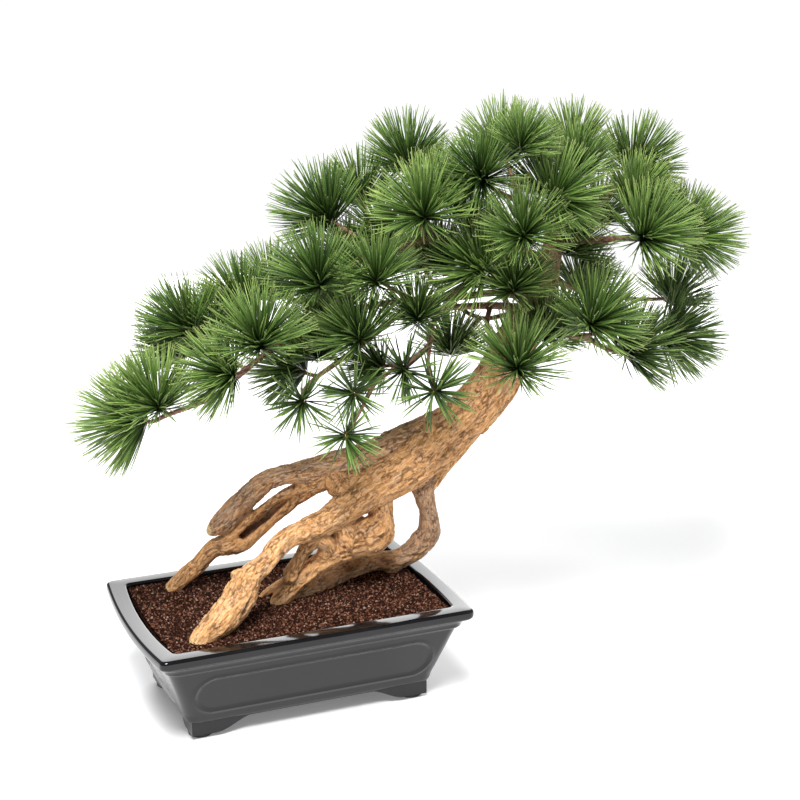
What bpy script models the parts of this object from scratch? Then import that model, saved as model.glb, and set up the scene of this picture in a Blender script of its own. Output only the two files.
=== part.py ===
"""Pine bonsai with exposed roots, planted in a glazed rectangular pot.

The glazed pot stands on four round pads. Two plastic nets cover its drain holes, the
planting soil lies on them, and the roots of the tree go down into the soil. The trunk
leans to one side and carries nine limbs, and every twig ends in a tuft of needles.

Metres, +Z up. Dimensions below are in millimetres and are scaled once, by MM. The pot's
long side runs along X, the tree leans towards +X, and the origin is under the middle of
the whole plant, on the surface that it stands on.
"""

import math

import bmesh
import bpy
from mathutils import Matrix, Vector

MM = 0.001
GAP = 0.3  # between two pieces that touch
WELD = 0.01

# --- pot ---------------------------------------------------------------------------
POT_HALF_LENGTH = 180.0  # at the rim
POT_HALF_WIDTH = 121.5
POT_HEIGHT = 117.0
RIM_WIDTH = 19.0
RIM_BOW = 7.0  # the short sides swing out by this much
INNER_BOW = 4.0
RIM_DIP = 4.0  # and sag by this much in their middle
# The body's leaning walls run between two heights, inset from the rim's edge by this much.
BODY_TOP = 92.0
BODY_TOP_INSET = 13.5
BODY_TOP_BOW = 6.0
WALL_FOOT = 31.0
WALL_FOOT_INSET = 34.0
WALL_FOOT_BOW = 3.0
BODY_BOTTOM = 20.0
BAND_BOTTOM = 16.0  # a set-back band closes the body underneath
BAND_INSET = 46.0
INNER_LEDGE = 95.0  # the wall's inside turns upright here
INNER_TOP = 113.0
FLOOR_TOP = 30.0
FLOOR_HALF_LENGTH = 131.0
FLOOR_HALF_WIDTH = 73.0
CORNER_STEPS = 4
SIDE_STEPS = 6
DRAIN_X = 62.0
DRAIN_RADIUS = 11.0

# the raised part of each foot, under the body's corners
FOOT_CORNER_X = 139.0
FOOT_CORNER_Y = 81.0
FOOT_THICKNESS = 14.0
FOOT_FLAT = 27.0
FOOT_LONG_ARM = 72.0
FOOT_SHORT_ARM = 50.0
FOOT_BOTTOM = 4.8
FOOT_ROOT = 1.0  # how far a foot runs up into the body
FOOT_STEP = 0.5  # the ogee ends this much under the body
OGEE_STEPS = 6
BOSS_RADIUS = 13.0  # of the round seat of a pad

PAD_X = 125.0
PAD_Y = 65.0
PAD_RADIUS = 13.5
PAD_HEIGHT = FOOT_BOTTOM - GAP
PAD_EDGE = 0.8
ROUND_SIDES = 20

# sunk panels with round ends, one in each wall
PANEL_MIDDLE_Z = 58.5
PANEL_RADIUS = 25.0
PANEL_DEPTH = 1.4
PANEL_BOW_SHARE = 0.83  # the flat panel meets the bowed wall between its middle and its ends
LONG_PANEL_STRAIGHT = 114.0  # half of its straight run
SHORT_PANEL_STRAIGHT = 46.0
PANEL_END_STEPS = 8
PANEL_CUTTER_REACH = 15.0

# --- drain nets and soil -------------------------------------------------------------
NET_SIZE = 42.0
NET_THICKNESS = 1.3
NET_HOLES = 3
NET_BAR = 4.0
SOIL_BOTTOM = 32.0
SOIL_TOP = 110.5
SOIL_CROWN = 1.2
CROWN_SHARE = (0.86, 0.8)  # of the soil's length and width, up to where it falls away
NET_CLEARANCE = 0.2  # above the nets
SOIL_CLEARANCE = 0.6  # to the wall, which is faceted a little differently

# --- wood ----------------------------------------------------------------------------
TRUNK_VOXEL = 3.0
TRUNK_FACES = 3200
LIMB_VOXEL = 1.3
LIMB_FACES = 300
ROUTE_STEPS = 3  # points per run of a strand's or a limb's route
TRIM_STEPS = 2  # the same, where tufts are trimmed to the wood
SEAT_GAP = 0.8  # round a root in the soil and at the foot of a limb
LIMB_CLEARANCE = 1.4  # from a tuft to the limbs, whose faces stand a little proud
TRUNK_CLEARANCE = 3.5

# Trunk and roots: fused strands, each a hand-laid route of (x, y, z, radius).
STRANDS = {
    "core": (
        (313, -39, 528, 10), (308, -38, 497, 12), (300, -35, 463, 16), (287, -31, 428, 19),
        (270, -26, 390, 24), (254, -21, 354, 27), (231, -15, 321, 28), (202, -7, 293, 28),
        (171, 0, 267, 30), (140, 0, 249, 28), (114, 2, 235, 26), (98, 0, 216, 19),
    ),
    "back_root_top": (
        (207, -4, 309, 13), (174, 6, 295, 14), (137, 8, 281, 15), (101, 10, 268, 15),
        (42, 15, 257, 15), (22, 20, 255, 12), (4, 26, 252, 11), (-12, 33, 244, 12),
        (-23, 39, 233, 13), (-35, 45, 219, 14), (-47, 50, 206, 14), (-58, 52, 195, 13),
        (-69, 53, 188, 9), (-75, 54, 186, 5),
    ),
    "back_root_middle": (
        (65, 12, 253, 15), (39, 18, 242, 15), (24, 24, 233, 9), (10, 30, 227, 6),
        (-4, 36, 218, 5), (-17, 41, 207, 5), (-29, 45, 196, 6), (-40, 49, 185, 7),
        (-52, 51, 177, 9),
    ),
    "back_root_under": (
        (47, 12, 246, 13), (33, 20, 230, 9), (22, 26, 220, 7), (12, 31, 209, 7),
        (0, 36, 198, 6), (-11, 39, 188, 6), (-22, 43, 178, 7), (-33, 45, 169, 8),
        (-46, 49, 165, 10),
    ),
    "back_root_web": (
        (18, 40, 216, 5), (0, 45, 203, 5), (-18, 50, 190, 5), (-34, 55, 177, 7),
    ),
    "back_root_foot": (
        (-42, 50, 171, 10), (-53, 53, 167, 13), (-65, 59, 163, 11), (-76, 63, 153, 10),
        (-86, 67, 141, 10), (-97, 69, 131, 10), (-107, 72, 121, 9), (-116, 76, 112, 8),
    ),
    "front_root": (
        (98, 0, 230, 23), (73, -8, 218, 19), (45, -17, 207, 16), (18, -24, 202, 14),
        (-6, -31, 200, 12), (-23, -37, 191, 12), (-39, -45, 180, 11), (-57, -51, 171, 13),
        (-68, -56, 159, 17), (-77, -60, 147, 18), (-94, -66, 133, 17), (-112, -70, 121, 14),
        (-124, -72, 112, 12), (-130, -73, 104, 9),
    ),
    "front_root_knob": (
        (-68, -49, 173, 7), (-79, -52, 171, 6),
    ),
    "burl": (
        (114, -2, 217, 15), (115, -6, 200, 14), (106, -10, 184, 22), (85, -13, 176, 23),
    ),
    "burl_left": (
        (74, -6, 214, 15), (62, -10, 197, 14), (73, -13, 178, 18),
    ),
    "burl_foot": (
        (93, -6, 166, 18), (94, 6, 149, 12), (86, 20, 134, 10),
    ),
    "middle_root": (
        (101, -11, 179, 22), (76, -11, 173, 19), (56, -11, 164, 14), (35, -10, 152, 12),
        (17, -9, 139, 12), (2, -7, 126, 11), (-11, -6, 114, 10), (-17, -5, 106, 7),
    ),
    "joining_root": (
        (30, -19, 190, 10), (20, -18, 180, 9), (14, -16, 170, 8), (7, -14, 158, 8),
        (-1, -11, 145, 9),
    ),
    "root_bridge": (
        (34, -20, 188, 10), (44, -17, 175, 10), (38, -15, 164, 8),
    ),
    "side_rootlet": (
        (1, -8, 138, 7), (-11, 3, 128, 5), (-21, 12, 118, 4), (-28, 19, 108, 3),
    ),
    "low_root": (
        (180, 20, 150, 13), (165, 24, 135, 13), (144, 29, 126, 12), (122, 35, 126, 11),
        (95, 34, 123, 12), (64, 20, 121, 11), (33, 6, 118, 10), (12, 1, 114, 8),
        (-2, -2, 108, 5),
    ),
    "loop_root": (
        (180, -1, 246, 14), (172, 4, 229, 15), (174, 9, 212, 13), (180, 12, 192, 10),
        (184, 15, 173, 12), (183, 18, 156, 14), (168, 23, 139, 13), (150, 27, 126, 11),
        (141, 29, 114, 8), (136, 30, 104, 6),
    ),
    "rib": (
        (256, -31, 361, 11), (239, -29, 324, 11), (221, -23, 294, 11), (202, -16, 270, 11),
        (187, -7, 247, 11), (179, 0, 229, 10),
    ),
    "crotch": (
        (114, 2, 238, 20), (75, 4, 237, 15), (62, 2, 244, 15),
    ),
}

# Limbs: the first route is the limb, which starts inside the trunk, and the others are its
# side shoots and twigs. Points are (x, y, z, radius).
LIMBS = {
    "lower_left_limb": (
        ((288, -28, 432, 4.8), (236, -33, 441, 4.2), (198, -33, 443, 3.9), (173, -35, 444, 3.6),
         (157, -40, 443, 3.1), (142, -47, 443, 2.5)),
        ((173, -35, 444, 3.1), (162, -41, 428, 2.8), (157, -46, 410, 2.8), (141, -50, 398, 2.5),
         (122, -56, 389, 2.2)),
        ((141, -50, 398, 2.2), (120, -42, 388, 2.2), (104, -32, 384, 2.2)),
        ((120, -42, 388, 2.2), (86, -58, 373, 2.2), (61, -70, 370, 2.2)),
        ((86, -58, 373, 2.2), (66, -70, 352, 2.2), (46, -80, 330, 2.2)),
        ((157, -46, 410, 2.2), (149, -58, 385, 2.2), (152, -71, 367, 2.2)),
        ((236, -33, 441, 3.1), (221, -56, 426, 2.8), (221, -83, 406, 2.5), (232, -106, 394, 2.2)),
    ),
    "middle_left_limb": (
        ((293, -33, 456, 5.4), (259, -35, 464, 4.8), (228, -35, 473, 4.2), (209, -32, 468, 4.2),
         (187, -27, 456, 3.9), (161, -22, 446, 3.9), (129, -26, 440, 3.6), (94, -30, 419, 3.4),
         (57, -32, 397, 3.1), (29, -34, 382, 2.8), (11, -40, 370, 2.5), (6, -46, 362, 2.2)),
        ((228, -35, 473, 3.1), (213, -54, 484, 2.5), (206, -65, 490, 2.2)),
        ((259, -35, 464, 3.1), (242, -66, 467, 2.5), (236, -85, 473, 2.2)),
        ((161, -22, 446, 3.1), (121, -45, 468, 2.5), (89, -65, 489, 2.2)),
        ((110, -28, 429, 2.8), (85, -42, 424, 2.2), (72, -52, 426, 2.2)),
        ((57, -32, 397, 2.5), (46, -14, 396, 2.2), (41, -2, 398, 2.2)),
        ((29, -34, 382, 2.5), (26, -12, 379, 2.2), (23, 6, 379, 2.2)),
    ),
    "far_left_limb": (
        ((289, -26, 443, 4.8), (262, 4, 445, 4.2), (231, 18, 441, 4.2), (202, 29, 438, 3.9),
         (156, 38, 438, 3.6), (83, 38, 430, 3.6), (13, 26, 410, 3.4), (-39, 8, 386, 3.4),
         (-76, 2, 363, 3.1), (-105, 0, 354, 3.1), (-130, 0, 348, 2.8), (-148, 0, 342, 2.5),
         (-159, 0, 345, 2.2)),
        ((-130, 0, 348, 2.5), (-139, -10, 358, 2.2), (-145, -17, 364, 2.2)),
        ((-39, 8, 386, 2.5), (-57, -18, 390, 2.2), (-71, -38, 397, 2.2)),
        ((13, 26, 410, 2.5), (-18, -20, 415, 2.2), (-41, -52, 430, 2.2)),
        ((-39, 8, 386, 2.5), (-63, 32, 405, 2.2), (-89, 44, 426, 2.2)),
        ((13, 26, 410, 2.5), (-4, 44, 430, 2.2), (-23, 54, 443, 2.2)),
        ((83, 38, 430, 2.8), (58, 66, 436, 2.5), (28, 90, 445, 2.2)),
    ),
    "upper_left_limb": (
        ((303, -41, 487, 5.4), (269, -38, 503, 4.8), (235, -31, 509, 4.8), (202, -23, 514, 4.2),
         (164, -14, 516, 3.9), (122, -10, 507, 3.6), (79, -10, 497, 3.4), (49, -28, 490, 2.8),
         (31, -40, 490, 2.2)),
        ((181, -17, 515, 3.1), (161, -41, 534, 2.5), (145, -58, 553, 2.2)),
        ((122, -10, 507, 3.1), (90, 6, 524, 2.5), (64, 18, 543, 2.2)),
        ((122, -10, 507, 2.8), (123, 40, 529, 2.5), (123, 70, 550, 2.2)),
        ((164, -14, 516, 3.1), (170, 26, 549, 2.5), (175, 56, 586, 2.2)),
    ),
    "crown_limb": (
        ((313, -39, 516, 5.4), (297, -42, 544, 4.8), (267, -51, 558, 3.6), (235, -60, 571, 3.1),
         (208, -71, 589, 2.4)),
        ((267, -51, 558, 2.8), (269, -15, 580, 2.5), (272, 13, 600, 2.2)),
        ((297, -42, 544, 3.1), (285, -77, 558, 2.5), (278, -103, 569, 2.2)),
        ((297, -42, 544, 3.1), (264, -83, 536, 2.5), (235, -117, 538, 2.2)),
    ),
    "right_upper_limb": (
        ((308, -38, 500, 5.4), (332, -53, 510, 4.5), (348, -77, 515, 3.9), (362, -102, 520, 3.4),
         (369, -118, 523, 2.8), (372, -126, 526, 2.4)),
        ((332, -53, 510, 3.6), (360, -27, 525, 3.1), (387, -19, 550, 2.8), (407, -15, 566, 2.5),
         (421, -14, 578, 2.2)),
        ((360, -27, 525, 2.8), (365, 8, 556, 2.5), (373, 35, 592, 2.2)),
        ((348, -77, 515, 3.1), (413, -48, 509, 2.8), (461, -22, 504, 2.5), (486, -10, 500, 2.2)),
        ((362, -102, 520, 2.8), (412, -88, 512, 2.5), (456, -82, 511, 2.2)),
    ),
    "right_lower_limb": (
        ((280, -29, 410, 5.4), (301, -49, 410, 4.2), (320, -65, 406, 3.6), (337, -79, 403, 3.4),
         (351, -85, 394, 3.1), (366, -90, 388, 2.8), (379, -92, 387, 2.4)),
        ((329, -73, 405, 2.5), (339, -96, 415, 2.4), (326, -113, 429, 2.2)),
        ((366, -90, 388, 2.4), (401, -83, 385, 2.4), (437, -76, 391, 2.2)),
        ((301, -49, 410, 2.5), (294, -60, 409, 2.2)),
    ),
    "right_middle_limb": (
        ((303, -36, 470, 4.8), (333, -28, 454, 3.9), (371, -22, 442, 3.4), (427, -17, 427, 2.8),
         (481, -12, 421, 2.2)),
    ),
    "back_limb": (
        ((280, -24, 410, 5.4), (287, 15, 416, 4.5), (296, 52, 423, 3.6), (304, 83, 440, 3.1),
         (313, 100, 452, 2.4)),
        ((287, 15, 416, 3.1), (260, 44, 406, 2.8), (237, 79, 422, 2.5), (221, 115, 450, 2.2)),
    ),
}

# Tufts: (foot of the tuft, direction in which it opens, reach, opening form)
FAN = "fan"  # needles spread forwards from the twig's end
STAR = "star"  # needles stand out all round
TUFTS = (
    ((-163, 0, 347), (-0.9, 0.3, 0.1), 72, FAN),
    ((-147, -20, 368), (-0.3, -0.2, 0.9), 64, FAN),
    ((-76, -45, 399), (-0.9, -0.1, 0.3), 62, FAN),
    ((-92, 45, 429), (-0.7, 0.2, 0.7), 62, FAN),
    ((-45, -60, 436), (-0.2, -0.3, 0.9), 66, FAN),
    ((22, 10, 380), (-0.9, 0.3, 0.3), 60, FAN),
    ((4, -50, 359), (-0.6, -0.8, -0.1), 46, STAR),
    ((-25, 55, 446), (-0.6, 0.1, 0.8), 62, FAN),
    ((22, 95, 448), (-0.1, 0.1, 1.0), 60, FAN),
    ((40, 0, 400), (-0.2, 0.0, 1.0), 60, FAN),
    ((27, -45, 491), (-0.4, -0.2, 0.9), 66, FAN),
    ((68, -55, 428), (-0.5, -0.2, 0.8), 62, FAN),
    ((61, 20, 545), (-0.6, 0.1, 0.8), 66, FAN),
    ((124, 75, 552), (0.0, 0.0, 1.0), 60, FAN),
    ((140, -65, 558), (-0.4, -0.4, 0.9), 68, FAN),
    ((83, -70, 494), (-0.2, -0.4, 0.9), 58, FAN),
    ((140, -50, 443), (-0.2, -0.4, 0.9), 52, FAN),
    ((203, -70, 493), (-0.9, -0.1, 0.5), 66, FAN),
    ((175, 60, 591), (-0.2, 0.0, 1.0), 62, FAN),
    ((202, -76, 595), (-0.5, -0.6, 0.6), 60, FAN),
    ((273, 17, 604), (0.0, -0.1, 1.0), 64, FAN),
    ((230, -124, 540), (-0.2, -0.6, 0.8), 60, FAN),
    ((235, -91, 476), (-0.2, -0.4, 0.9), 58, FAN),
    ((276, -109, 573), (0.4, -0.7, 0.5), 64, FAN),
    ((375, 41, 597), (0.0, -0.1, 1.0), 60, FAN),
    ((424, -13, 582), (0.3, -0.4, 0.9), 64, FAN),
    ((373, -132, 528), (0.2, -0.7, 0.6), 68, FAN),
    ((492, -7, 500), (0.5, -0.1, 0.8), 60, FAN),
    ((462, -81, 511), (0.8, -0.6, 0.1), 62, FAN),
    ((318, -121, 435), (0.2, -0.6, 0.8), 70, FAN),
    ((383, -92, 389), (0.4, -0.6, 0.6), 66, FAN),
    ((443, -74, 393), (0.9, -0.5, 0.1), 66, FAN),
    ((488, -11, 422), (0.3, -0.1, 0.9), 58, FAN),
    ((232, -112, 392), (-0.1, -0.5, 0.9), 68, FAN),
    ((289, -66, 412), (0.2, -0.3, 0.9), 56, FAN),
    ((55, -75, 370), (-0.3, -0.9, 0.0), 44, STAR),
    ((41, -85, 326), (-0.4, -0.9, -0.3), 44, STAR),
    ((101, -30, 384), (-0.9, -0.1, 0.3), 44, FAN),
    ((120, -60, 388), (-0.3, -0.8, 0.6), 46, STAR),
    ((151, -77, 364), (0.2, -0.8, 0.5), 52, STAR),
    ((218, 125, 460), (0.0, 0.6, 0.8), 60, FAN),
    ((316, 108, 458), (0.2, 0.6, 0.8), 62, FAN),
)
FAN_FULL_ANGLE = 55.0  # needles are full length up to this angle from the tuft's axis
FAN_END_ANGLE = 118.0  # and there are none past this one
STAR_FULL_ANGLE = 110.0
STAR_END_ANGLE = 165.0
TUFT_NECK = 0.12  # the tuft's size at its foot, as a share of its reach
TUFT_WELD = 0.3
TRIM_REACH = 1.2  # wood further off than this many reaches leaves a tuft alone


# --- helpers -------------------------------------------------------------------------
def clear_scene():
    for item in list(bpy.data.objects):
        bpy.data.objects.remove(item, do_unlink=True)


def new_collection(name):
    group = bpy.data.collections.new(name)
    bpy.context.scene.collection.children.link(group)
    return group


def material(name, colour, roughness, coat=0.0):
    finish = bpy.data.materials.new(name)
    finish.use_nodes = True
    shader = finish.node_tree.nodes["Principled BSDF"]
    shader.inputs["Base Color"].default_value = (*colour, 1.0)
    shader.inputs["Roughness"].default_value = roughness
    shader.inputs["Metallic"].default_value = 0.0
    shader.inputs["Coat Weight"].default_value = coat
    finish.diffuse_color = (*colour, 1.0)
    return finish


def place(name, mesh, group, finish=None):
    item = bpy.data.objects.new(name, mesh)
    group.objects.link(item)
    if finish:
        mesh.materials.clear()
        mesh.materials.append(finish)
    return item


def as_helper(item):
    item.hide_render = True
    item.display_type = "WIRE"
    return item


def mesh_from(name, builder):
    mesh = bpy.data.meshes.new(name)
    builder.normal_update()
    builder.to_mesh(mesh)
    builder.free()
    return mesh


def applied(item):
    """The object's mesh with its modifiers applied, as plain mesh data."""
    bpy.context.view_layer.update()
    graph = bpy.context.evaluated_depsgraph_get()
    return bpy.data.meshes.new_from_object(item.evaluated_get(graph))


def loft(name, rings):
    """A closed skin through rings of equal length, with both ends capped."""
    builder = bmesh.new()
    rows = [[builder.verts.new(Vector(point) * MM) for point in ring] for ring in rings]
    for lower, upper in zip(rows, rows[1:]):
        for index in range(len(lower)):
            after = (index + 1) % len(lower)
            builder.faces.new((lower[index], lower[after], upper[after], upper[index]))
    builder.faces.new(list(reversed(rows[0])))
    builder.faces.new(rows[-1])
    return mesh_from(name, builder)


# --- pot -----------------------------------------------------------------------------
def pot_outline(half_length, half_width, z, corner, bow, dip):
    """A rounded rectangle, anticlockwise, whose short sides bow out and sag."""
    flat = []
    for quarter in range(4):
        across = 1 if quarter in (0, 3) else -1
        along = 1 if quarter in (0, 1) else -1
        centre_x = across * (half_length - corner)
        centre_y = along * (half_width - corner)
        for step in range(CORNER_STEPS + 1):
            angle = math.radians(90.0 * (quarter + step / CORNER_STEPS))
            flat.append((centre_x + corner * math.cos(angle), centre_y + corner * math.sin(angle)))
        if quarter in (1, 3):
            reach = half_width - corner
            for step in range(1, SIDE_STEPS):
                y = along * reach * (1 - 2 * step / SIDE_STEPS)
                flat.append((across * half_length, y))
    outline = []
    for x, y in flat:
        middle = 1 - (y / half_width) ** 2
        outline.append((x + math.copysign(bow * middle, x), y, z - dip * middle))
    return outline


def pot_rings():
    """Rings up the outside of the pot, over the rim and down the inside."""
    length, width, top = POT_HALF_LENGTH, POT_HALF_WIDTH, POT_HEIGHT
    outside = (
        # inset from the rim's edge, height, corner radius, bow, dip
        (BAND_INSET, BAND_BOTTOM, 8, WALL_FOOT_BOW, 0),
        (BAND_INSET, BODY_BOTTOM, 8, WALL_FOOT_BOW, 0),
        (41.0, BODY_BOTTOM, 10, WALL_FOOT_BOW, 0),
        (37.5, BODY_BOTTOM + 2.0, 12, WALL_FOOT_BOW, 0),
        (35.5, BODY_BOTTOM + 6.0, 13, WALL_FOOT_BOW, 0),
        (WALL_FOOT_INSET, WALL_FOOT, 13, WALL_FOOT_BOW, 0.5),
        (BODY_TOP_INSET, BODY_TOP, 12, BODY_TOP_BOW, 3),
        (11.0, BODY_TOP + 2.0, 12, BODY_TOP_BOW, 3),
        (8.5, BODY_TOP + 5.0, 12, BODY_TOP_BOW, 3),
        (7.0, BODY_TOP + 10.0, 12, BODY_TOP_BOW, 3.5),
        (5.0, top - 12.5, 10, RIM_BOW, RIM_DIP),
        (1.5, top - 11.5, 8, RIM_BOW, RIM_DIP),
        (0.0, top - 9.0, 7, RIM_BOW, RIM_DIP),
        (0.0, top - 3.0, 7, RIM_BOW, RIM_DIP),
        (1.2, top - 0.9, 7, RIM_BOW, RIM_DIP),
        (3.5, top, 6, RIM_BOW, RIM_DIP),
        (RIM_WIDTH - 1.5, top, 6, INNER_BOW, RIM_DIP),
        (RIM_WIDTH, top - 0.8, 6, INNER_BOW, RIM_DIP),
    )
    rings = [
        pot_outline(length - inset, width - inset, z, corner, bow, dip)
        for inset, z, corner, bow, dip in outside
    ]
    rings += [inner_ring(z) for z in (INNER_TOP, INNER_LEDGE, SOIL_BOTTOM)]
    rings.append(pot_outline(FLOOR_HALF_LENGTH, FLOOR_HALF_WIDTH, FLOOR_TOP, 6, 2, 0))
    return rings


# half length, half width, height, corner radius, bow and dip of the wall's inside
INNER_WALL = (
    (136.5, 78.5, SOIL_BOTTOM, 8, 2, 0.4),
    (158.5, 99.0, INNER_LEDGE, 7, INNER_BOW, 3.2),
    (160.0, 101.0, INNER_TOP, 6, INNER_BOW, RIM_DIP),
)


def inner_ring(z, clearance=0.0):
    for low, high in zip(INNER_WALL, INNER_WALL[1:]):
        if z <= high[2]:
            break
    share = (z - low[2]) / (high[2] - low[2])
    length, width, _, corner, bow, dip = (a + (b - a) * share for a, b in zip(low, high))
    return pot_outline(length - clearance, width - clearance, z, corner, bow, dip)


def foot_arm(name, arm, along_x, group):
    """One arm of a foot: flat near the corner, then an ogee up to the body."""
    root = BODY_BOTTOM + FOOT_ROOT
    outline = [(0.0, root), (0.0, FOOT_BOTTOM), (FOOT_FLAT, FOOT_BOTTOM)]
    rise = BODY_BOTTOM - FOOT_STEP - FOOT_BOTTOM
    for step in range(1, OGEE_STEPS + 1):
        share = step / OGEE_STEPS
        run = FOOT_FLAT + (arm - FOOT_FLAT) * share
        outline.append((run, FOOT_BOTTOM + rise * (1 - math.cos(math.pi * share)) / 2))
    outline.append((arm, root))
    sides = []
    for depth in (0.0, FOOT_THICKNESS):
        if along_x:
            sides.append([(FOOT_CORNER_X - run, FOOT_CORNER_Y - depth, z) for run, z in outline])
        else:
            sides.append([(FOOT_CORNER_X - depth, FOOT_CORNER_Y - run, z) for run, z in outline])
    return place(name, loft(name, sides), group)


def mirrored_corner(item, x_side, y_side):
    """The mesh of a foot block from the corner with +x and +y, moved to another corner."""
    builder = bmesh.new()
    builder.from_mesh(item.data)
    for vertex in builder.verts:
        vertex.co.x *= x_side
        vertex.co.y *= y_side
    bmesh.ops.recalc_face_normals(builder, faces=builder.faces)
    return mesh_from(item.name, builder)


def foot_blocks(group):
    boss_height = BODY_BOTTOM + FOOT_ROOT - FOOT_BOTTOM
    boss_middle = (PAD_X, PAD_Y, FOOT_BOTTOM + boss_height / 2)
    blocks = (
        foot_arm("foot_long_arm", FOOT_LONG_ARM, True, group),
        foot_arm("foot_short_arm", FOOT_SHORT_ARM, False, group),
        cylinder("foot_boss", BOSS_RADIUS, boss_height, boss_middle, group),
    )
    for block in blocks:
        tidy = mirrored_corner(block, 1, 1)
        block.data = tidy
        as_helper(block)
        for x_side, y_side in ((-1, 1), (1, -1), (-1, -1)):
            as_helper(place(block.name, mirrored_corner(block, x_side, y_side), group))


def cylinder(name, radius, height, middle, group, edge=0.0):
    builder = bmesh.new()
    bmesh.ops.create_cone(
        builder, cap_ends=True, segments=ROUND_SIDES, radius1=radius * MM, radius2=radius * MM,
        depth=height * MM,
    )
    bmesh.ops.translate(builder, verts=builder.verts, vec=Vector(middle) * MM)
    item = place(name, mesh_from(name, builder), group)
    if edge:
        rounding = item.modifiers.new("edge", "BEVEL")
        rounding.width = edge * MM
        rounding.segments = 1
        rounding.limit_method = "ANGLE"
    return item


def panel_cutter(name, straight, wall_top, wall_foot, facing, group):
    """A stadium-shaped block that sinks a shallow panel into a leaning wall.

    wall_top and wall_foot are (distance from the middle, height) of the wall's face.
    """
    outline = []
    for end in (1, -1):
        for step in range(PANEL_END_STEPS + 1):
            angle = math.radians(-90 + 180 * step / PANEL_END_STEPS)
            along = end * (straight + PANEL_RADIUS * math.cos(angle))
            outline.append((along, end * PANEL_RADIUS * math.sin(angle)))
    rise = Vector((wall_top[0] - wall_foot[0], 0, wall_top[1] - wall_foot[1]))
    lean = rise.normalized()
    outward = Vector((lean.z, 0, -lean.x))
    share = (PANEL_MIDDLE_Z - wall_foot[1]) / rise.z
    middle = Vector((wall_foot[0] + rise.x * share, 0, PANEL_MIDDLE_Z))
    sides = []
    for depth in (-PANEL_DEPTH, PANEL_CUTTER_REACH):
        ring = []
        for along, up in outline:
            point = middle + outward * depth + lean * up
            flat = Vector((point.x, along))
            cosine, sine = math.cos(facing), math.sin(facing)
            ring.append((
                flat.x * cosine - flat.y * sine, flat.x * sine + flat.y * cosine, point.z,
            ))
        sides.append(ring)
    cutter = place(name, loft(name, sides), group)
    cutter.data = mirrored_corner(cutter, 1, 1)
    return as_helper(cutter)


def make_pot(group, cutters, feet, finish):
    pot = place("pot", loft("pot", pot_rings()), group, finish)
    foot_blocks(feet)
    for side in (-1, 1):
        middle = (side * DRAIN_X, 0, FLOOR_TOP)
        as_helper(cylinder("drain_cutter", DRAIN_RADIUS, FLOOR_TOP, middle, cutters))
    for name, straight, half_span, bow, facings in (
        ("long_panel_cutter", LONG_PANEL_STRAIGHT, POT_HALF_WIDTH, 0.0, (90, 270)),
        ("short_panel_cutter", SHORT_PANEL_STRAIGHT, POT_HALF_LENGTH, PANEL_BOW_SHARE, (0, 180)),
    ):
        wall_top = (half_span - BODY_TOP_INSET + BODY_TOP_BOW * bow, BODY_TOP)
        wall_foot = (half_span - WALL_FOOT_INSET + WALL_FOOT_BOW * bow, WALL_FOOT)
        for facing in facings:
            panel_cutter(name, straight, wall_top, wall_foot, math.radians(facing), cutters)
    for operation, operands in (("UNION", feet), ("DIFFERENCE", cutters)):
        step = pot.modifiers.new(operation.lower(), "BOOLEAN")
        step.operation = operation
        step.operand_type = "COLLECTION"
        step.collection = operands
        step.solver = "EXACT"
    return pot


def make_pads(group, finish):
    for side, x_sign in (("left", -1), ("right", 1)):
        for end, y_sign in (("front", -1), ("back", 1)):
            pad = cylinder(
                f"foot_pad_{end}_{side}", PAD_RADIUS, PAD_HEIGHT,
                (x_sign * PAD_X, y_sign * PAD_Y, PAD_HEIGHT / 2), group, edge=PAD_EDGE,
            )
            pad.data.materials.append(finish)


# --- drain nets and soil --------------------------------------------------------------
def make_nets(group, finish):
    """A square of coarse plastic net over each drain hole, under the soil."""
    pitch = (NET_SIZE - NET_BAR) / NET_HOLES
    low = FLOOR_TOP + GAP
    lines = [-NET_SIZE / 2]
    for hole in range(NET_HOLES):
        start = -NET_SIZE / 2 + NET_BAR + hole * pitch
        lines += [start, start + pitch - NET_BAR]
    lines.append(NET_SIZE / 2)
    for side, sign in (("left", -1), ("right", 1)):
        builder = bmesh.new()
        grid = [
            [builder.verts.new(Vector((sign * DRAIN_X + x, y, low)) * MM) for y in lines]
            for x in lines
        ]
        for column in range(len(lines) - 1):
            for row in range(len(lines) - 1):
                if column % 2 and row % 2:
                    continue
                builder.faces.new((
                    grid[column][row], grid[column + 1][row],
                    grid[column + 1][row + 1], grid[column][row + 1],
                ))
        net = place(f"drain_net_{side}", mesh_from("drain_net", builder), group, finish)
        wall = net.modifiers.new("thickness", "SOLIDIFY")
        wall.thickness = NET_THICKNESS * MM
        wall.offset = 1.0


def make_soil(group, roots, finish):
    """Fills the pot, just clear of its wall, with a socket round every root."""
    heights = (SOIL_BOTTOM + NET_CLEARANCE, INNER_LEDGE, SOIL_TOP)
    rings = [inner_ring(z, SOIL_CLEARANCE) for z in heights]
    crown_x, crown_y = CROWN_SHARE
    rings.append([
        (x * crown_x, y * crown_y, SOIL_TOP + SOIL_CROWN) for x, y, z in inner_ring(SOIL_TOP)
    ])
    soil = place("soil", loft("soil", rings), group, finish)
    sockets = soil.modifiers.new("root_sockets", "BOOLEAN")
    sockets.operation = "DIFFERENCE"
    sockets.object = roots
    sockets.solver = "EXACT"


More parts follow.
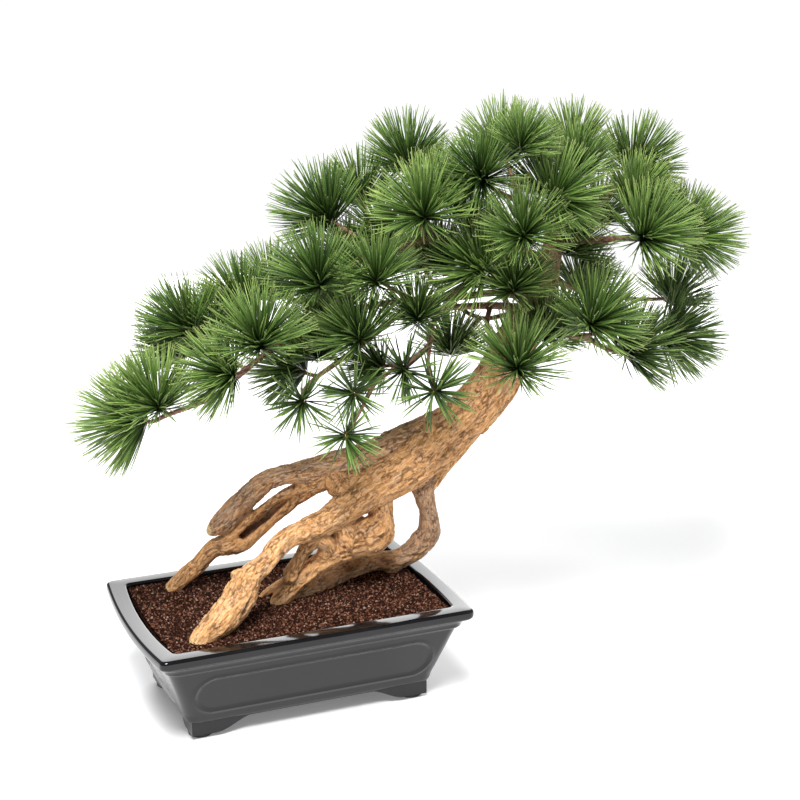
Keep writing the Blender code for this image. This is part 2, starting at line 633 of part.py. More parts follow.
# --- wood ------------------------------------------------------------------------------
def smooth_route(points, steps):
    """A Catmull-Rom curve through hand-laid (x, y, z, radius) points."""
    route = [Vector(point) for point in points]
    ends = [route[0] * 2 - route[1]] + route + [route[-1] * 2 - route[-2]]
    curve = []
    for a, b, c, d in zip(ends, ends[1:], ends[2:], ends[3:]):
        for step in range(steps):
            t = step / steps
            curve.append(
                ((b * 2) + (c - a) * t + (a * 2 - b * 5 + c * 4 - d) * t * t
                 + (b * 3 - a - c * 3 + d) * t * t * t) * 0.5
            )
    return curve + [route[-1]]


def tube(name, points):
    """A closed tube of changing thickness along a route, as a mesh."""
    curve = bpy.data.curves.new(name, "CURVE")
    curve.dimensions = "3D"
    curve.bevel_depth = MM
    curve.bevel_resolution = 4
    curve.use_fill_caps = True
    route = smooth_route(points, ROUTE_STEPS)
    spline = curve.splines.new("POLY")
    spline.points.add(len(route) - 1)
    for knot, (x, y, z, radius) in zip(spline.points, route):
        knot.co = (x * MM, y * MM, z * MM, 1.0)
        knot.radius = radius
    item = bpy.data.objects.new(name, curve)
    bpy.context.scene.collection.objects.link(item)
    mesh = applied(item)
    bpy.data.objects.remove(item, do_unlink=True)
    bpy.data.curves.remove(curve)
    return mesh


def fused(name, routes, voxel, face_limit, group, finish):
    """One piece of wood grown from several strands that run into each other."""
    builder = bmesh.new()
    for route in routes:
        mesh = tube(name, route)
        builder.from_mesh(mesh)
        bpy.data.meshes.remove(mesh)
    bmesh.ops.remove_doubles(builder, verts=builder.verts, dist=WELD * MM)
    wood = place(name, mesh_from(name, builder), group)
    remesh = wood.modifiers.new("fuse", "REMESH")
    remesh.mode = "VOXEL"
    remesh.voxel_size = voxel * MM
    relax = wood.modifiers.new("relax", "SMOOTH")
    relax.factor = 0.5
    relax.iterations = 2
    faces = len(applied(wood).polygons) * 2
    if faces > face_limit:
        thin = wood.modifiers.new("thin", "DECIMATE")
        thin.ratio = face_limit / faces
    solid = applied(wood)
    wood.modifiers.clear()
    wood.data = solid
    solid.materials.clear()
    solid.materials.append(finish)
    return wood


def socket_for(item, cutters):
    """The piece grown by SEAT_GAP all over, to cut its seat in a neighbour."""
    builder = bmesh.new()
    builder.from_mesh(item.data)
    builder.normal_update()
    for vertex, normal in [(v, v.normal.copy()) for v in builder.verts]:
        vertex.co += normal * SEAT_GAP * MM
    return as_helper(place(item.name + "_socket", mesh_from("socket", builder), cutters))


def make_wood(group, cutters, bark, twig_bark):
    trunk = fused("trunk", STRANDS.values(), TRUNK_VOXEL, TRUNK_FACES, group, bark)
    socket = socket_for(trunk, cutters)
    for name, routes in LIMBS.items():
        limb = fused(name, routes, LIMB_VOXEL, LIMB_FACES, group, twig_bark)
        seat = limb.modifiers.new("seat", "BOOLEAN")
        seat.operation = "DIFFERENCE"
        seat.object = socket
        seat.solver = "EXACT"
    return socket


# --- tufts -----------------------------------------------------------------------------
def nearest_on_run(point, start, end):
    run = end - start
    share = max(0.0, min(1.0, (point - start).dot(run) / run.length_squared))
    return start + run * share


def wood_runs():
    """Every straight run of wood as (start, end, thicker radius, clearance)."""
    runs = []
    for routes, clearance in (
        (STRANDS.values(), TRUNK_CLEARANCE),
        ([route for limb in LIMBS.values() for route in limb], LIMB_CLEARANCE),
    ):
        for route in routes:
            curve = smooth_route(route, TRIM_STEPS)
            for a, b in zip(curve, curve[1:]):
                runs.append((a.xyz, b.xyz, max(a.w, b.w) + clearance))
    return runs


def needle_reach(angle, form):
    """How far needles reach, as a share, at an angle from the tuft's axis in degrees."""
    full, end = (FAN_FULL_ANGLE, FAN_END_ANGLE)
    if form == STAR:
        full, end = (STAR_FULL_ANGLE, STAR_END_ANGLE)
    share = max(0.0, min(1.0, (end - angle) / (end - full)))
    return TUFT_NECK + (1 - TUFT_NECK) * share * share * (3 - 2 * share)


def hull_of(builder):
    """Replace the mesh by the convex hull of its corners."""
    corners = [vertex.co.copy() for vertex in builder.verts]
    builder.clear()
    for corner in corners:
        builder.verts.new(corner)
    bmesh.ops.remove_doubles(builder, verts=builder.verts, dist=TUFT_WELD)
    hull = bmesh.ops.convex_hull(builder, input=builder.verts)
    loose = {part for part in hull["geom_interior"] + hull["geom_unused"]
             if isinstance(part, bmesh.types.BMVert) and part.is_valid}
    bmesh.ops.delete(builder, geom=list(loose), context="VERTS")


def cut_away(builder, point, outward):
    """Remove what lies beyond a plane."""
    parts = builder.verts[:] + builder.edges[:] + builder.faces[:]
    bmesh.ops.bisect_plane(
        builder, geom=parts, plane_co=point, plane_no=outward, clear_outer=True, dist=0.01,
    )
    hull_of(builder)


def make_tufts(group, finish):
    """A convex solid for each tuft, trimmed where it meets wood or another tuft."""
    runs = wood_runs()
    hearts = [
        Vector(foot) + Vector(direction).normalized() * reach * 0.5
        for foot, direction, reach, form in TUFTS
    ]
    for index, (foot, direction, reach, form) in enumerate(TUFTS):
        builder = bmesh.new()
        bmesh.ops.create_icosphere(builder, subdivisions=2, radius=1.0)
        turn = Vector(direction).to_track_quat("Z", "Y")
        for vertex in builder.verts:
            angle = math.degrees(Vector((0, 0, 1)).angle(vertex.co))
            span = reach * needle_reach(angle, form)
            vertex.co = Vector(foot) + turn @ (vertex.co.normalized() * span)
        hull_of(builder)
        heart = hearts[index]
        for other, far in enumerate(hearts):
            if other == index or (far - heart).length > reach + TUFTS[other][2]:
                continue
            outward = (far - heart).normalized()
            cut_away(builder, (heart + far) / 2 - outward * GAP / 2, outward)
        for start, end, clearance in runs:
            nearest = nearest_on_run(heart, start, end)
            away = nearest - heart
            if away.length > reach * TRIM_REACH + clearance:
                continue
            outward = away.normalized()
            cut_away(builder, nearest - outward * clearance, outward)
        bmesh.ops.scale(builder, vec=(MM, MM, MM), verts=builder.verts)
        bmesh.ops.recalc_face_normals(builder, faces=builder.faces)
        place(f"needle_tuft_{index + 1:02d}", mesh_from("needle_tuft", builder), group, finish)


# --- the whole plant -------------------------------------------------------------------
def centre_footprint(groups):
    """Move everything so that the middle of the plant's footprint is the origin."""
    bpy.context.view_layer.update()
    graph = bpy.context.evaluated_depsgraph_get()
    corners = []
    for item in groups[0].objects:
        mesh = item.evaluated_get(graph).to_mesh()
        corners += [(vertex.co.x, vertex.co.y) for vertex in mesh.vertices]
    middle_x = (min(x for x, _ in corners) + max(x for x, _ in corners)) / 2
    middle_y = (min(y for _, y in corners) + max(y for _, y in corners)) / 2
    for group in groups:
        for item in group.objects:
            item.data.transform(Matrix.Translation((-middle_x, -middle_y, 0)))


def main():
    clear_scene()
    plant = new_collection("bonsai_in_pot")
    feet = new_collection("foot_blocks")
    pot_cutters = new_collection("pot_cutters")
    sockets = new_collection("sockets")

    glaze = material("charcoal_glaze", (0.035, 0.036, 0.038), 0.12, coat=0.6)
    rubber = material("pad_rubber", (0.02, 0.02, 0.02), 0.7)
    net_plastic = material("net_plastic", (0.05, 0.05, 0.05), 0.6)
    soil_grain = material("soil", (0.075, 0.04, 0.028), 0.95)
    bark = material("bark", (0.50, 0.30, 0.13), 0.85)
    twig_bark = material("twig_bark", (0.33, 0.17, 0.11), 0.7)
    needles = material("needles", (0.07, 0.16, 0.04), 0.55)

    make_pot(plant, pot_cutters, feet, glaze)
    make_pads(plant, rubber)
    make_nets(plant, net_plastic)
    socket = make_wood(plant, sockets, bark, twig_bark)
    make_soil(plant, socket, soil_grain)
    make_tufts(plant, needles)
    centre_footprint((plant, feet, pot_cutters, sockets))


main()
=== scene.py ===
# %% [markdown]
# # A bonsai pine in a glazed pot
#
# The real plant is a slanting pine whose roots have been lifted out of the soil over many
# years. It stands in a shallow pot of dark glazed stoneware. This lesson dresses the packed
# CAD model: its needle tufts are plain solids, its wood is coarse and its soil is a block.
# Detailed pieces take the place of the tufts, the wood and the pot, and granules cover
# the block of soil.
#
# The imported model is loaded first. The box of its pot gives the middle of the pot.

# %% Load the imported model
import math
import random

import bmesh
import bpy
import numpy as np
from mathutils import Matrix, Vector, noise


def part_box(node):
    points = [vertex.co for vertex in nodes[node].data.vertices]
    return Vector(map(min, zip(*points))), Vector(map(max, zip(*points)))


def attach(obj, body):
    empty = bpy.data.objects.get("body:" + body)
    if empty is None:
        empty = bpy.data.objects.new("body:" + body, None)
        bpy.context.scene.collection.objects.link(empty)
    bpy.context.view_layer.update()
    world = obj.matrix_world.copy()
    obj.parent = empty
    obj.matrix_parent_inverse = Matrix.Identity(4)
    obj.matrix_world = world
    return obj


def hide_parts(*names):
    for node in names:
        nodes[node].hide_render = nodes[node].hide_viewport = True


MM = 0.001
BODY = "root"

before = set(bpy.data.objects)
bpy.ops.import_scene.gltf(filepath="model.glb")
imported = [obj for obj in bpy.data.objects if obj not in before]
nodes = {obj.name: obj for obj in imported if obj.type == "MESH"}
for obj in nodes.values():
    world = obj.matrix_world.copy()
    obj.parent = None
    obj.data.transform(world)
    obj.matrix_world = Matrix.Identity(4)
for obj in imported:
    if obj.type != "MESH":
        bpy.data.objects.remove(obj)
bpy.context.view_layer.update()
pot_low, pot_high = (Vector(corner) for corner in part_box("pot"))
POT_CENTRE = Vector(((pot_low.x + pot_high.x) / 2, (pot_low.y + pot_high.y) / 2, 0.0))
print("nodes:", len(nodes), " pot centre:", [round(value, 4) for value in POT_CENTRE])

# %% [markdown]
# ## Where things stand
#
# Routes and sizes below are in millimetres from the middle of the pot, on the floor,
# because that is how a grower would measure the plant. One function turns them into the
# model's own metres, so that every finished piece keeps its object at the origin.

# %% Millimetres to the model's frame
def placed(x, y, z):
    return Vector((POT_CENTRE.x + x * MM, POT_CENTRE.y + y * MM, z * MM))


def finished(name, mesh, finish, replaced=()):
    """A finished piece at the origin, riding on the plant's one body."""
    mesh.materials.clear()
    mesh.materials.append(finish)
    piece = bpy.data.objects.new(name, mesh)
    bpy.context.scene.collection.objects.link(piece)
    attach(piece, BODY)
    if replaced:
        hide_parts(*replaced)
    return piece


def as_mesh(item):
    """The object's mesh with its modifiers applied."""
    bpy.context.view_layer.update()
    graph = bpy.context.evaluated_depsgraph_get()
    return bpy.data.meshes.new_from_object(item.evaluated_get(graph))


def from_builder(name, builder):
    mesh = bpy.data.meshes.new(name)
    builder.normal_update()
    builder.to_mesh(mesh)
    builder.free()
    return mesh


def helper_object(name, mesh):
    """A passing object that only carries modifiers."""
    item = bpy.data.objects.new(name, mesh)
    bpy.context.scene.collection.objects.link(item)
    return item


def triangles(mesh):
    return sum(len(face.vertices) - 2 for face in mesh.polygons)


# %% [markdown]
# ## Camera, light and floor
#
# The plant stands on a white floor in a white room. The key is a large soft light over the
# left shoulder, a weak one at the front right fills its shadows, and a broad pale panel
# stands behind the plant. The panel is what the glossy rim of the pot mirrors, and it edges
# the needles with light.
#
# Two settings keep the background as white as paper while the plant is lit softly. The
# room is brighter where the camera sees it than it is as light, and the floor glows a
# little. The Standard view shows those whites as they are. A stronger room would do it
# too, but it would wash out the shadows in the bark.

# %% Camera
CAMERA_SIDE, CAMERA_FRONT, CAMERA_HEIGHT = -603.0, -1770.0, 915.0
CAMERA_YAW = math.radians(22.77)
CAMERA_DIP = math.radians(16.88)
LENS = 79.7

camera = bpy.data.objects.new("camera", bpy.data.cameras.new("camera"))
bpy.context.scene.collection.objects.link(camera)
camera.data.lens = LENS
camera.data.sensor_width = 36.0
camera.location = placed(CAMERA_SIDE, CAMERA_FRONT, CAMERA_HEIGHT)
ahead = Vector((
    math.sin(CAMERA_YAW) * math.cos(CAMERA_DIP),
    math.cos(CAMERA_YAW) * math.cos(CAMERA_DIP),
    -math.sin(CAMERA_DIP),
))
camera.rotation_euler = ahead.to_track_quat("-Z", "Y").to_euler()
bpy.context.scene.camera = camera
print("camera at", [round(value, 3) for value in camera.location])


# %% Helpers for node trees
def feed(tree, socket, value):
    """Gives a socket a plain value, or another node's output."""
    if isinstance(value, bpy.types.NodeSocket):
        tree.links.new(value, socket)
    else:
        socket.default_value = value


def add(tree, kind, inputs=None, **settings):
    """A node with its settings. An input is a plain value or another node's output."""
    made = tree.nodes.new(kind)
    for key, value in settings.items():
        setattr(made, key, value)
    for key, value in (inputs or {}).items():
        feed(tree, made.inputs[key], value)
    return made


def maths(tree, operation, first, second=0.0, third=0.0):
    return add(tree, "ShaderNodeMath", {0: first, 1: second, 2: third},
               operation=operation).outputs[0]


# %% Lights and room
ROOM_WHITE = (0.98, 0.99, 1.0, 1.0)
ROOM_STRENGTH = 0.33  # as light on the plant
BACKDROP_STRENGTH = 1.08  # as the white seen behind it

room = bpy.data.worlds.new("room")
room.use_nodes = True
backdrop = room.node_tree.nodes["Background"]
backdrop.inputs["Color"].default_value = ROOM_WHITE
seen = add(room.node_tree, "ShaderNodeLightPath").outputs["Is Camera Ray"]
strength = add(room.node_tree, "ShaderNodeMapRange", {
    "Value": seen, "To Min": ROOM_STRENGTH, "To Max": BACKDROP_STRENGTH,
})
room.node_tree.links.new(strength.outputs["Result"], backdrop.inputs["Strength"])
bpy.context.scene.world = room
bpy.context.scene.view_settings.view_transform = "Standard"

SOFT_LIGHTS = (
    # name, place in mm, aimed at in mm, size in m, watts
    ("key", (-500, -900, 1900), (120, 0, 300), 0.8, 78.0),
    ("fill", (1500, -1100, 900), (120, 0, 300), 1.3, 3.0),
    ("back_panel", (900, 2400, 900), (0, 0, 100), 2.4, 65.0),
)
for name, spot, aim, size, watts in SOFT_LIGHTS:
    light = bpy.data.lights.new(name, "AREA")
    light.size = size
    light.energy = watts
    lamp = bpy.data.objects.new(name, light)
    bpy.context.scene.collection.objects.link(lamp)
    lamp.location = placed(*spot)
    lamp.rotation_euler = (placed(*aim) - placed(*spot)).to_track_quat("-Z", "Y").to_euler()
    lamp.visible_camera = False
print("lights:", len(SOFT_LIGHTS))

# %% Floor
FLOOR_RADIUS = 2.15
FLOOR_SIDES = 128
FLOOR_WHITE = (0.93, 0.93, 0.94, 1.0)
FLOOR_ROUGHNESS = 0.6
GLOW_WHITE = (1.0, 1.0, 1.0, 1.0)
GLOW_STRENGTH = 0.16

floor_builder = bmesh.new()
bmesh.ops.create_circle(floor_builder, cap_ends=True, segments=FLOOR_SIDES,
                        radius=FLOOR_RADIUS)
floor = helper_object("floor", from_builder("floor", floor_builder))
floor_finish = bpy.data.materials.new("floor_white")
floor_finish.use_nodes = True
floor_shader = floor_finish.node_tree.nodes["Principled BSDF"]
floor_shader.inputs["Base Color"].default_value = FLOOR_WHITE
floor_shader.inputs["Roughness"].default_value = FLOOR_ROUGHNESS
floor_shader.inputs["Emission Color"].default_value = GLOW_WHITE
floor_shader.inputs["Emission Strength"].default_value = GLOW_STRENGTH
floor.data.materials.append(floor_finish)
print("floor:", FLOOR_RADIUS * 2, "m across")

# %% [markdown]
# ## The wood
#
# The roots and the trunk are strands that ran into each other as they thickened, so they
# are built that way: a tube is laid along each route, and a voxel remesh fuses
# the tubes into one skin. Sculpting or metaballs would do it too, but routes keep every root
# where it belongs.
#
# Bark follows the strand it grows on. Each point of the skin therefore learns how far along
# its strand it lies and where it is across it. Those grain coordinates drive the relief of
# the bark here, and its colour later.

# %% Routes of the trunk and roots
# Each strand is a route of (x, y, z, radius).
STRANDS = {
    "core": (
        (313, -39, 528, 10), (308, -38, 497, 12), (300, -35, 463, 16), (287, -31, 428, 19),
        (270, -26, 390, 24), (254, -21, 354, 27), (231, -15, 321, 28), (202, -7, 293, 28),
        (171, 0, 267, 30), (140, 0, 249, 28), (114, 2, 235, 26), (98, 0, 216, 19),
    ),
    "back_root_top": (
        (207, -4, 309, 13), (174, 6, 295, 14), (137, 8, 281, 15), (101, 10, 268, 15),
        (42, 15, 257, 15), (22, 20, 255, 12), (4, 26, 252, 11), (-12, 33, 244, 12),
        (-23, 39, 233, 13), (-35, 45, 219, 14), (-47, 50, 206, 14), (-58, 52, 195, 13),
        (-69, 53, 188, 9), (-75, 54, 186, 5),
    ),
    "back_root_middle": (
        (65, 12, 253, 15), (39, 18, 242, 15), (24, 24, 233, 9), (10, 30, 227, 6),
        (-4, 36, 218, 5), (-17, 41, 207, 5), (-29, 45, 196, 6), (-40, 49, 185, 7),
        (-52, 51, 177, 9),
    ),
    "back_root_under": (
        (47, 12, 246, 13), (33, 20, 230, 9), (22, 26, 220, 7), (12, 31, 209, 7),
        (0, 36, 198, 6), (-11, 39, 188, 6), (-22, 43, 178, 7), (-33, 45, 169, 8),
        (-46, 49, 165, 10),
    ),
    "back_root_web": (
        (18, 40, 216, 5), (0, 45, 203, 5), (-18, 50, 190, 5), (-34, 55, 177, 7),
    ),
    "back_root_foot": (
        (-42, 50, 171, 10), (-53, 53, 167, 13), (-65, 59, 163, 11), (-76, 63, 153, 10),
        (-86, 67, 141, 10), (-97, 69, 131, 10), (-107, 72, 121, 9), (-116, 76, 112, 8),
    ),
    "front_root": (
        (98, 0, 230, 23), (73, -8, 218, 19), (45, -17, 207, 16), (18, -24, 202, 14),
        (-6, -31, 200, 12), (-23, -37, 191, 12), (-39, -45, 180, 11), (-57, -51, 171, 13),
        (-68, -56, 159, 17), (-77, -60, 147, 18), (-94, -66, 133, 17), (-112, -70, 121, 14),
        (-124, -72, 112, 12), (-130, -73, 104, 9),
    ),
    "front_root_knob": (
        (-68, -49, 173, 7), (-79, -52, 171, 6),
    ),
    "burl": (
        (114, -2, 217, 15), (115, -6, 200, 14), (106, -10, 184, 22), (85, -13, 176, 23),
    ),
    "burl_left": (
        (74, -6, 214, 15), (62, -10, 197, 14), (73, -13, 178, 18),
    ),
    "burl_foot": (
        (93, -6, 166, 18), (94, 6, 149, 12), (86, 20, 134, 10),
    ),
    "middle_root": (
        (101, -11, 179, 22), (76, -11, 173, 19), (56, -11, 164, 14), (35, -10, 152, 12),
        (17, -9, 139, 12), (2, -7, 126, 11), (-11, -6, 114, 10), (-17, -5, 106, 7),
    ),
    "joining_root": (
        (30, -19, 190, 10), (20, -18, 180, 9), (14, -16, 170, 8), (7, -14, 158, 8),
        (-1, -11, 145, 9),
    ),
    "root_bridge": (
        (34, -20, 188, 10), (44, -17, 175, 10), (38, -15, 164, 8),
    ),
    "side_rootlet": (
        (1, -8, 138, 7), (-11, 3, 128, 5), (-21, 12, 118, 4), (-28, 19, 108, 3),
    ),
    "low_root": (
        (180, 20, 150, 13), (165, 24, 135, 13), (144, 29, 126, 12), (122, 35, 126, 11),
        (95, 34, 123, 12), (64, 20, 121, 11), (33, 6, 118, 10), (12, 1, 114, 8),
        (-2, -2, 108, 5),
    ),
    "loop_root": (
        (180, -1, 246, 14), (172, 4, 229, 15), (174, 9, 212, 13), (180, 12, 192, 10),
        (184, 15, 173, 12), (183, 18, 156, 14), (168, 23, 139, 13), (150, 27, 126, 11),
        (141, 29, 114, 8), (136, 30, 104, 6),
    ),
    "rib": (
        (256, -31, 361, 11), (239, -29, 324, 11), (221, -23, 294, 11), (202, -16, 270, 11),
        (187, -7, 247, 11), (179, 0, 229, 10),
    ),
    "crotch": (
        (114, 2, 238, 20), (75, 4, 237, 15), (62, 2, 244, 15),
    ),
}


# %% Routes of the limbs
# Limbs: the first route is the limb, which starts inside the trunk, and the others are its
# side shoots and twigs. Points are (x, y, z, radius).
LIMBS = {
    "lower_left_limb": (
        ((288, -28, 432, 4.8), (236, -33, 441, 4.2), (198, -33, 443, 3.9), (173, -35, 444, 3.6),
         (157, -40, 443, 3.1), (142, -47, 443, 2.5)),
        ((173, -35, 444, 3.1), (162, -41, 428, 2.8), (157, -46, 410, 2.8), (141, -50, 398, 2.5),
         (122, -56, 389, 2.2)),
        ((141, -50, 398, 2.2), (120, -42, 388, 2.2), (104, -32, 384, 2.2)),
        ((120, -42, 388, 2.2), (86, -58, 373, 2.2), (61, -70, 370, 2.2)),
        ((86, -58, 373, 2.2), (66, -70, 352, 2.2), (46, -80, 330, 2.2)),
        ((157, -46, 410, 2.2), (149, -58, 385, 2.2), (152, -71, 367, 2.2)),
        ((236, -33, 441, 3.1), (221, -56, 426, 2.8), (221, -83, 406, 2.5), (232, -106, 394, 2.2)),
    ),
    "middle_left_limb": (
        ((293, -33, 456, 5.4), (259, -35, 464, 4.8), (228, -35, 473, 4.2), (209, -32, 468, 4.2),
         (187, -27, 456, 3.9), (161, -22, 446, 3.9), (129, -26, 440, 3.6), (94, -30, 419, 3.4),
         (57, -32, 397, 3.1), (29, -34, 382, 2.8), (11, -40, 370, 2.5), (6, -46, 362, 2.2)),
        ((228, -35, 473, 3.1), (213, -54, 484, 2.5), (206, -65, 490, 2.2)),
        ((259, -35, 464, 3.1), (242, -66, 467, 2.5), (236, -85, 473, 2.2)),
        ((161, -22, 446, 3.1), (121, -45, 468, 2.5), (89, -65, 489, 2.2)),
        ((110, -28, 429, 2.8), (85, -42, 424, 2.2), (72, -52, 426, 2.2)),
        ((57, -32, 397, 2.5), (46, -14, 396, 2.2), (41, -2, 398, 2.2)),
        ((29, -34, 382, 2.5), (26, -12, 379, 2.2), (23, 6, 379, 2.2)),
    ),
    "far_left_limb": (
        ((289, -26, 443, 4.8), (262, 4, 445, 4.2), (231, 18, 441, 4.2), (202, 29, 438, 3.9),
         (156, 38, 438, 3.6), (83, 38, 430, 3.6), (13, 26, 410, 3.4), (-39, 8, 386, 3.4),
         (-76, 2, 363, 3.1), (-105, 0, 354, 3.1), (-130, 0, 348, 2.8), (-148, 0, 342, 2.5),
         (-159, 0, 345, 2.2)),
        ((-130, 0, 348, 2.5), (-139, -10, 358, 2.2), (-145, -17, 364, 2.2)),
        ((-39, 8, 386, 2.5), (-57, -18, 390, 2.2), (-71, -38, 397, 2.2)),
        ((13, 26, 410, 2.5), (-18, -20, 415, 2.2), (-41, -52, 430, 2.2)),
        ((-39, 8, 386, 2.5), (-63, 32, 405, 2.2), (-89, 44, 426, 2.2)),
        ((13, 26, 410, 2.5), (-4, 44, 430, 2.2), (-23, 54, 443, 2.2)),
        ((83, 38, 430, 2.8), (58, 66, 436, 2.5), (28, 90, 445, 2.2)),
    ),
    "upper_left_limb": (
        ((303, -41, 487, 5.4), (269, -38, 503, 4.8), (235, -31, 509, 4.8), (202, -23, 514, 4.2),
         (164, -14, 516, 3.9), (122, -10, 507, 3.6), (79, -10, 497, 3.4), (49, -28, 490, 2.8),
         (31, -40, 490, 2.2)),
        ((181, -17, 515, 3.1), (161, -41, 534, 2.5), (145, -58, 553, 2.2)),
        ((122, -10, 507, 3.1), (90, 6, 524, 2.5), (64, 18, 543, 2.2)),
        ((122, -10, 507, 2.8), (123, 40, 529, 2.5), (123, 70, 550, 2.2)),
        ((164, -14, 516, 3.1), (170, 26, 549, 2.5), (175, 56, 586, 2.2)),
    ),
    "crown_limb": (
        ((313, -39, 516, 5.4), (297, -42, 544, 4.8), (267, -51, 558, 3.6), (235, -60, 571, 3.1),
         (208, -71, 589, 2.4)),
        ((267, -51, 558, 2.8), (269, -15, 580, 2.5), (272, 13, 600, 2.2)),
        ((297, -42, 544, 3.1), (285, -77, 558, 2.5), (278, -103, 569, 2.2)),
        ((297, -42, 544, 3.1), (264, -83, 536, 2.5), (235, -117, 538, 2.2)),
    ),
    "right_upper_limb": (
        ((308, -38, 500, 5.4), (332, -53, 510, 4.5), (348, -77, 515, 3.9), (362, -102, 520, 3.4),
         (369, -118, 523, 2.8), (372, -126, 526, 2.4)),
        ((332, -53, 510, 3.6), (360, -27, 525, 3.1), (387, -19, 550, 2.8), (407, -15, 566, 2.5),
         (421, -14, 578, 2.2)),
        ((360, -27, 525, 2.8), (365, 8, 556, 2.5), (373, 35, 592, 2.2)),
        ((348, -77, 515, 3.1), (413, -48, 509, 2.8), (461, -22, 504, 2.5), (486, -10, 500, 2.2)),
        ((362, -102, 520, 2.8), (412, -88, 512, 2.5), (456, -82, 511, 2.2)),
    ),
    "right_lower_limb": (
        ((280, -29, 410, 5.4), (301, -49, 410, 4.2), (320, -65, 406, 3.6), (337, -79, 403, 3.4),
         (351, -85, 394, 3.1), (366, -90, 388, 2.8), (379, -92, 387, 2.4)),
        ((329, -73, 405, 2.5), (339, -96, 415, 2.4), (326, -113, 429, 2.2)),
        ((366, -90, 388, 2.4), (401, -83, 385, 2.4), (437, -76, 391, 2.2)),
        ((301, -49, 410, 2.5), (294, -60, 409, 2.2)),
    ),
    "right_middle_limb": (
        ((303, -36, 470, 4.8), (333, -28, 454, 3.9), (371, -22, 442, 3.4), (427, -17, 427, 2.8),
         (481, -12, 421, 2.2)),
    ),
    "back_limb": (
        ((280, -24, 410, 5.4), (287, 15, 416, 4.5), (296, 52, 423, 3.6), (304, 83, 440, 3.1),
         (313, 100, 452, 2.4)),
        ((287, 15, 416, 3.1), (260, 44, 406, 2.8), (237, 79, 422, 2.5), (221, 115, 450, 2.2)),
    ),
}


# %% Smooth routes with a frame that doesn't twist
ROUTE_STEPS = 3
TUBE_SIDES = 12
TIP_BULGE = 0.35  # how far a tube's end stands out, as a share of its radius
RELAX_FACTOR, RELAX_ROUNDS = 0.5, 3


def curve_through(ends, shares):
    """Catmull-Rom points between all but the outer two ends, at these shares of each gap."""
    return [
        ((b * 2) + (c - a) * t + (a * 2 - b * 5 + c * 4 - d) * t * t
         + (b * 3 - a - c * 3 + d) * t * t * t) * 0.5
        for a, b, c, d in zip(ends, ends[1:], ends[2:], ends[3:]) for t in shares
    ]


def smooth_route(points):
    """A smooth curve through (x, y, z, radius) points."""
    route = [Vector(point) for point in points]
    ends = [route[0] * 2 - route[1]] + route + [route[-1] * 2 - route[-2]]
    shares = [step / ROUTE_STEPS for step in range(ROUTE_STEPS)]
    return curve_through(ends, shares) + [route[-1]]


def framed(points):
    """Stations (centre, radius, side, up, distance along) of a route."""
    curve = smooth_route(points)
    stations = []
    side = Vector((0.3, 0.9, 0.2))
    run = 0.0
    for index, point in enumerate(curve):
        before, after = curve[max(index - 1, 0)], curve[min(index + 1, len(curve) - 1)]
        tangent = (after.xyz - before.xyz).normalized()
        side = (side - tangent * side.dot(tangent)).normalized()
        if index:
            run += (point.xyz - curve[index - 1].xyz).length
        stations.append((point.xyz, point.w, side.copy(), tangent.cross(side), run))
    return stations


def add_tube(builder, stations):
    """A closed tube along framed stations, with blunt rounded ends."""
    rings = []
    for centre, radius, side, up, _ in stations:
        ring = []
        for step in range(TUBE_SIDES):
            angle = math.tau * step / TUBE_SIDES
            ring.append(builder.verts.new(
                centre + (side * math.cos(angle) + up * math.sin(angle)) * radius
            ))
        rings.append(ring)
    for lower, upper in zip(rings, rings[1:]):
        for step in range(TUBE_SIDES):
            after = (step + 1) % TUBE_SIDES
            builder.faces.new((lower[step], lower[after], upper[after], upper[step]))
    for ring, station, near in ((rings[0], stations[0], stations[1]),
                                (rings[-1], stations[-1], stations[-2])):
        outward = (station[0] - near[0]).normalized()
        tip = builder.verts.new(station[0] + outward * station[1] * TIP_BULGE)
        for step in range(TUBE_SIDES):
            builder.faces.new((ring[step], ring[(step + 1) % TUBE_SIDES], tip))


def fused_skin(name, routes, voxel):
    """One skin round several tubes, still in millimetres from the pot's middle."""
    builder = bmesh.new()
    for stations in routes:
        add_tube(builder, stations)
    bmesh.ops.recalc_face_normals(builder, faces=builder.faces)
    shape = helper_object(name, from_builder(name, builder))
    remesh = shape.modifiers.new("fuse", "REMESH")
    remesh.mode = "VOXEL"
    remesh.voxel_size = voxel
    relax = shape.modifiers.new("relax", "SMOOTH")
    relax.factor = RELAX_FACTOR
    relax.iterations = RELAX_ROUNDS
    skin = as_mesh(shape)
    bpy.data.objects.remove(shape, do_unlink=True)
    return skin


trunk_routes = [framed(points) for points in STRANDS.values()]
print("strands:", len(trunk_routes), " limbs:", len(LIMBS))

# %% Grain coordinates of points on the skin
CHUNK = 4000


def runs_of(routes):
    """Every straight run of the routes: its ends, radii, frame, start and route number."""
    runs = []
    for number, stations in enumerate(routes):
        for here, there in zip(stations, stations[1:]):
            runs.append((*here[0], *there[0], here[1], there[1], *here[2], *here[3], here[4],
                         number))
    return np.array(runs)


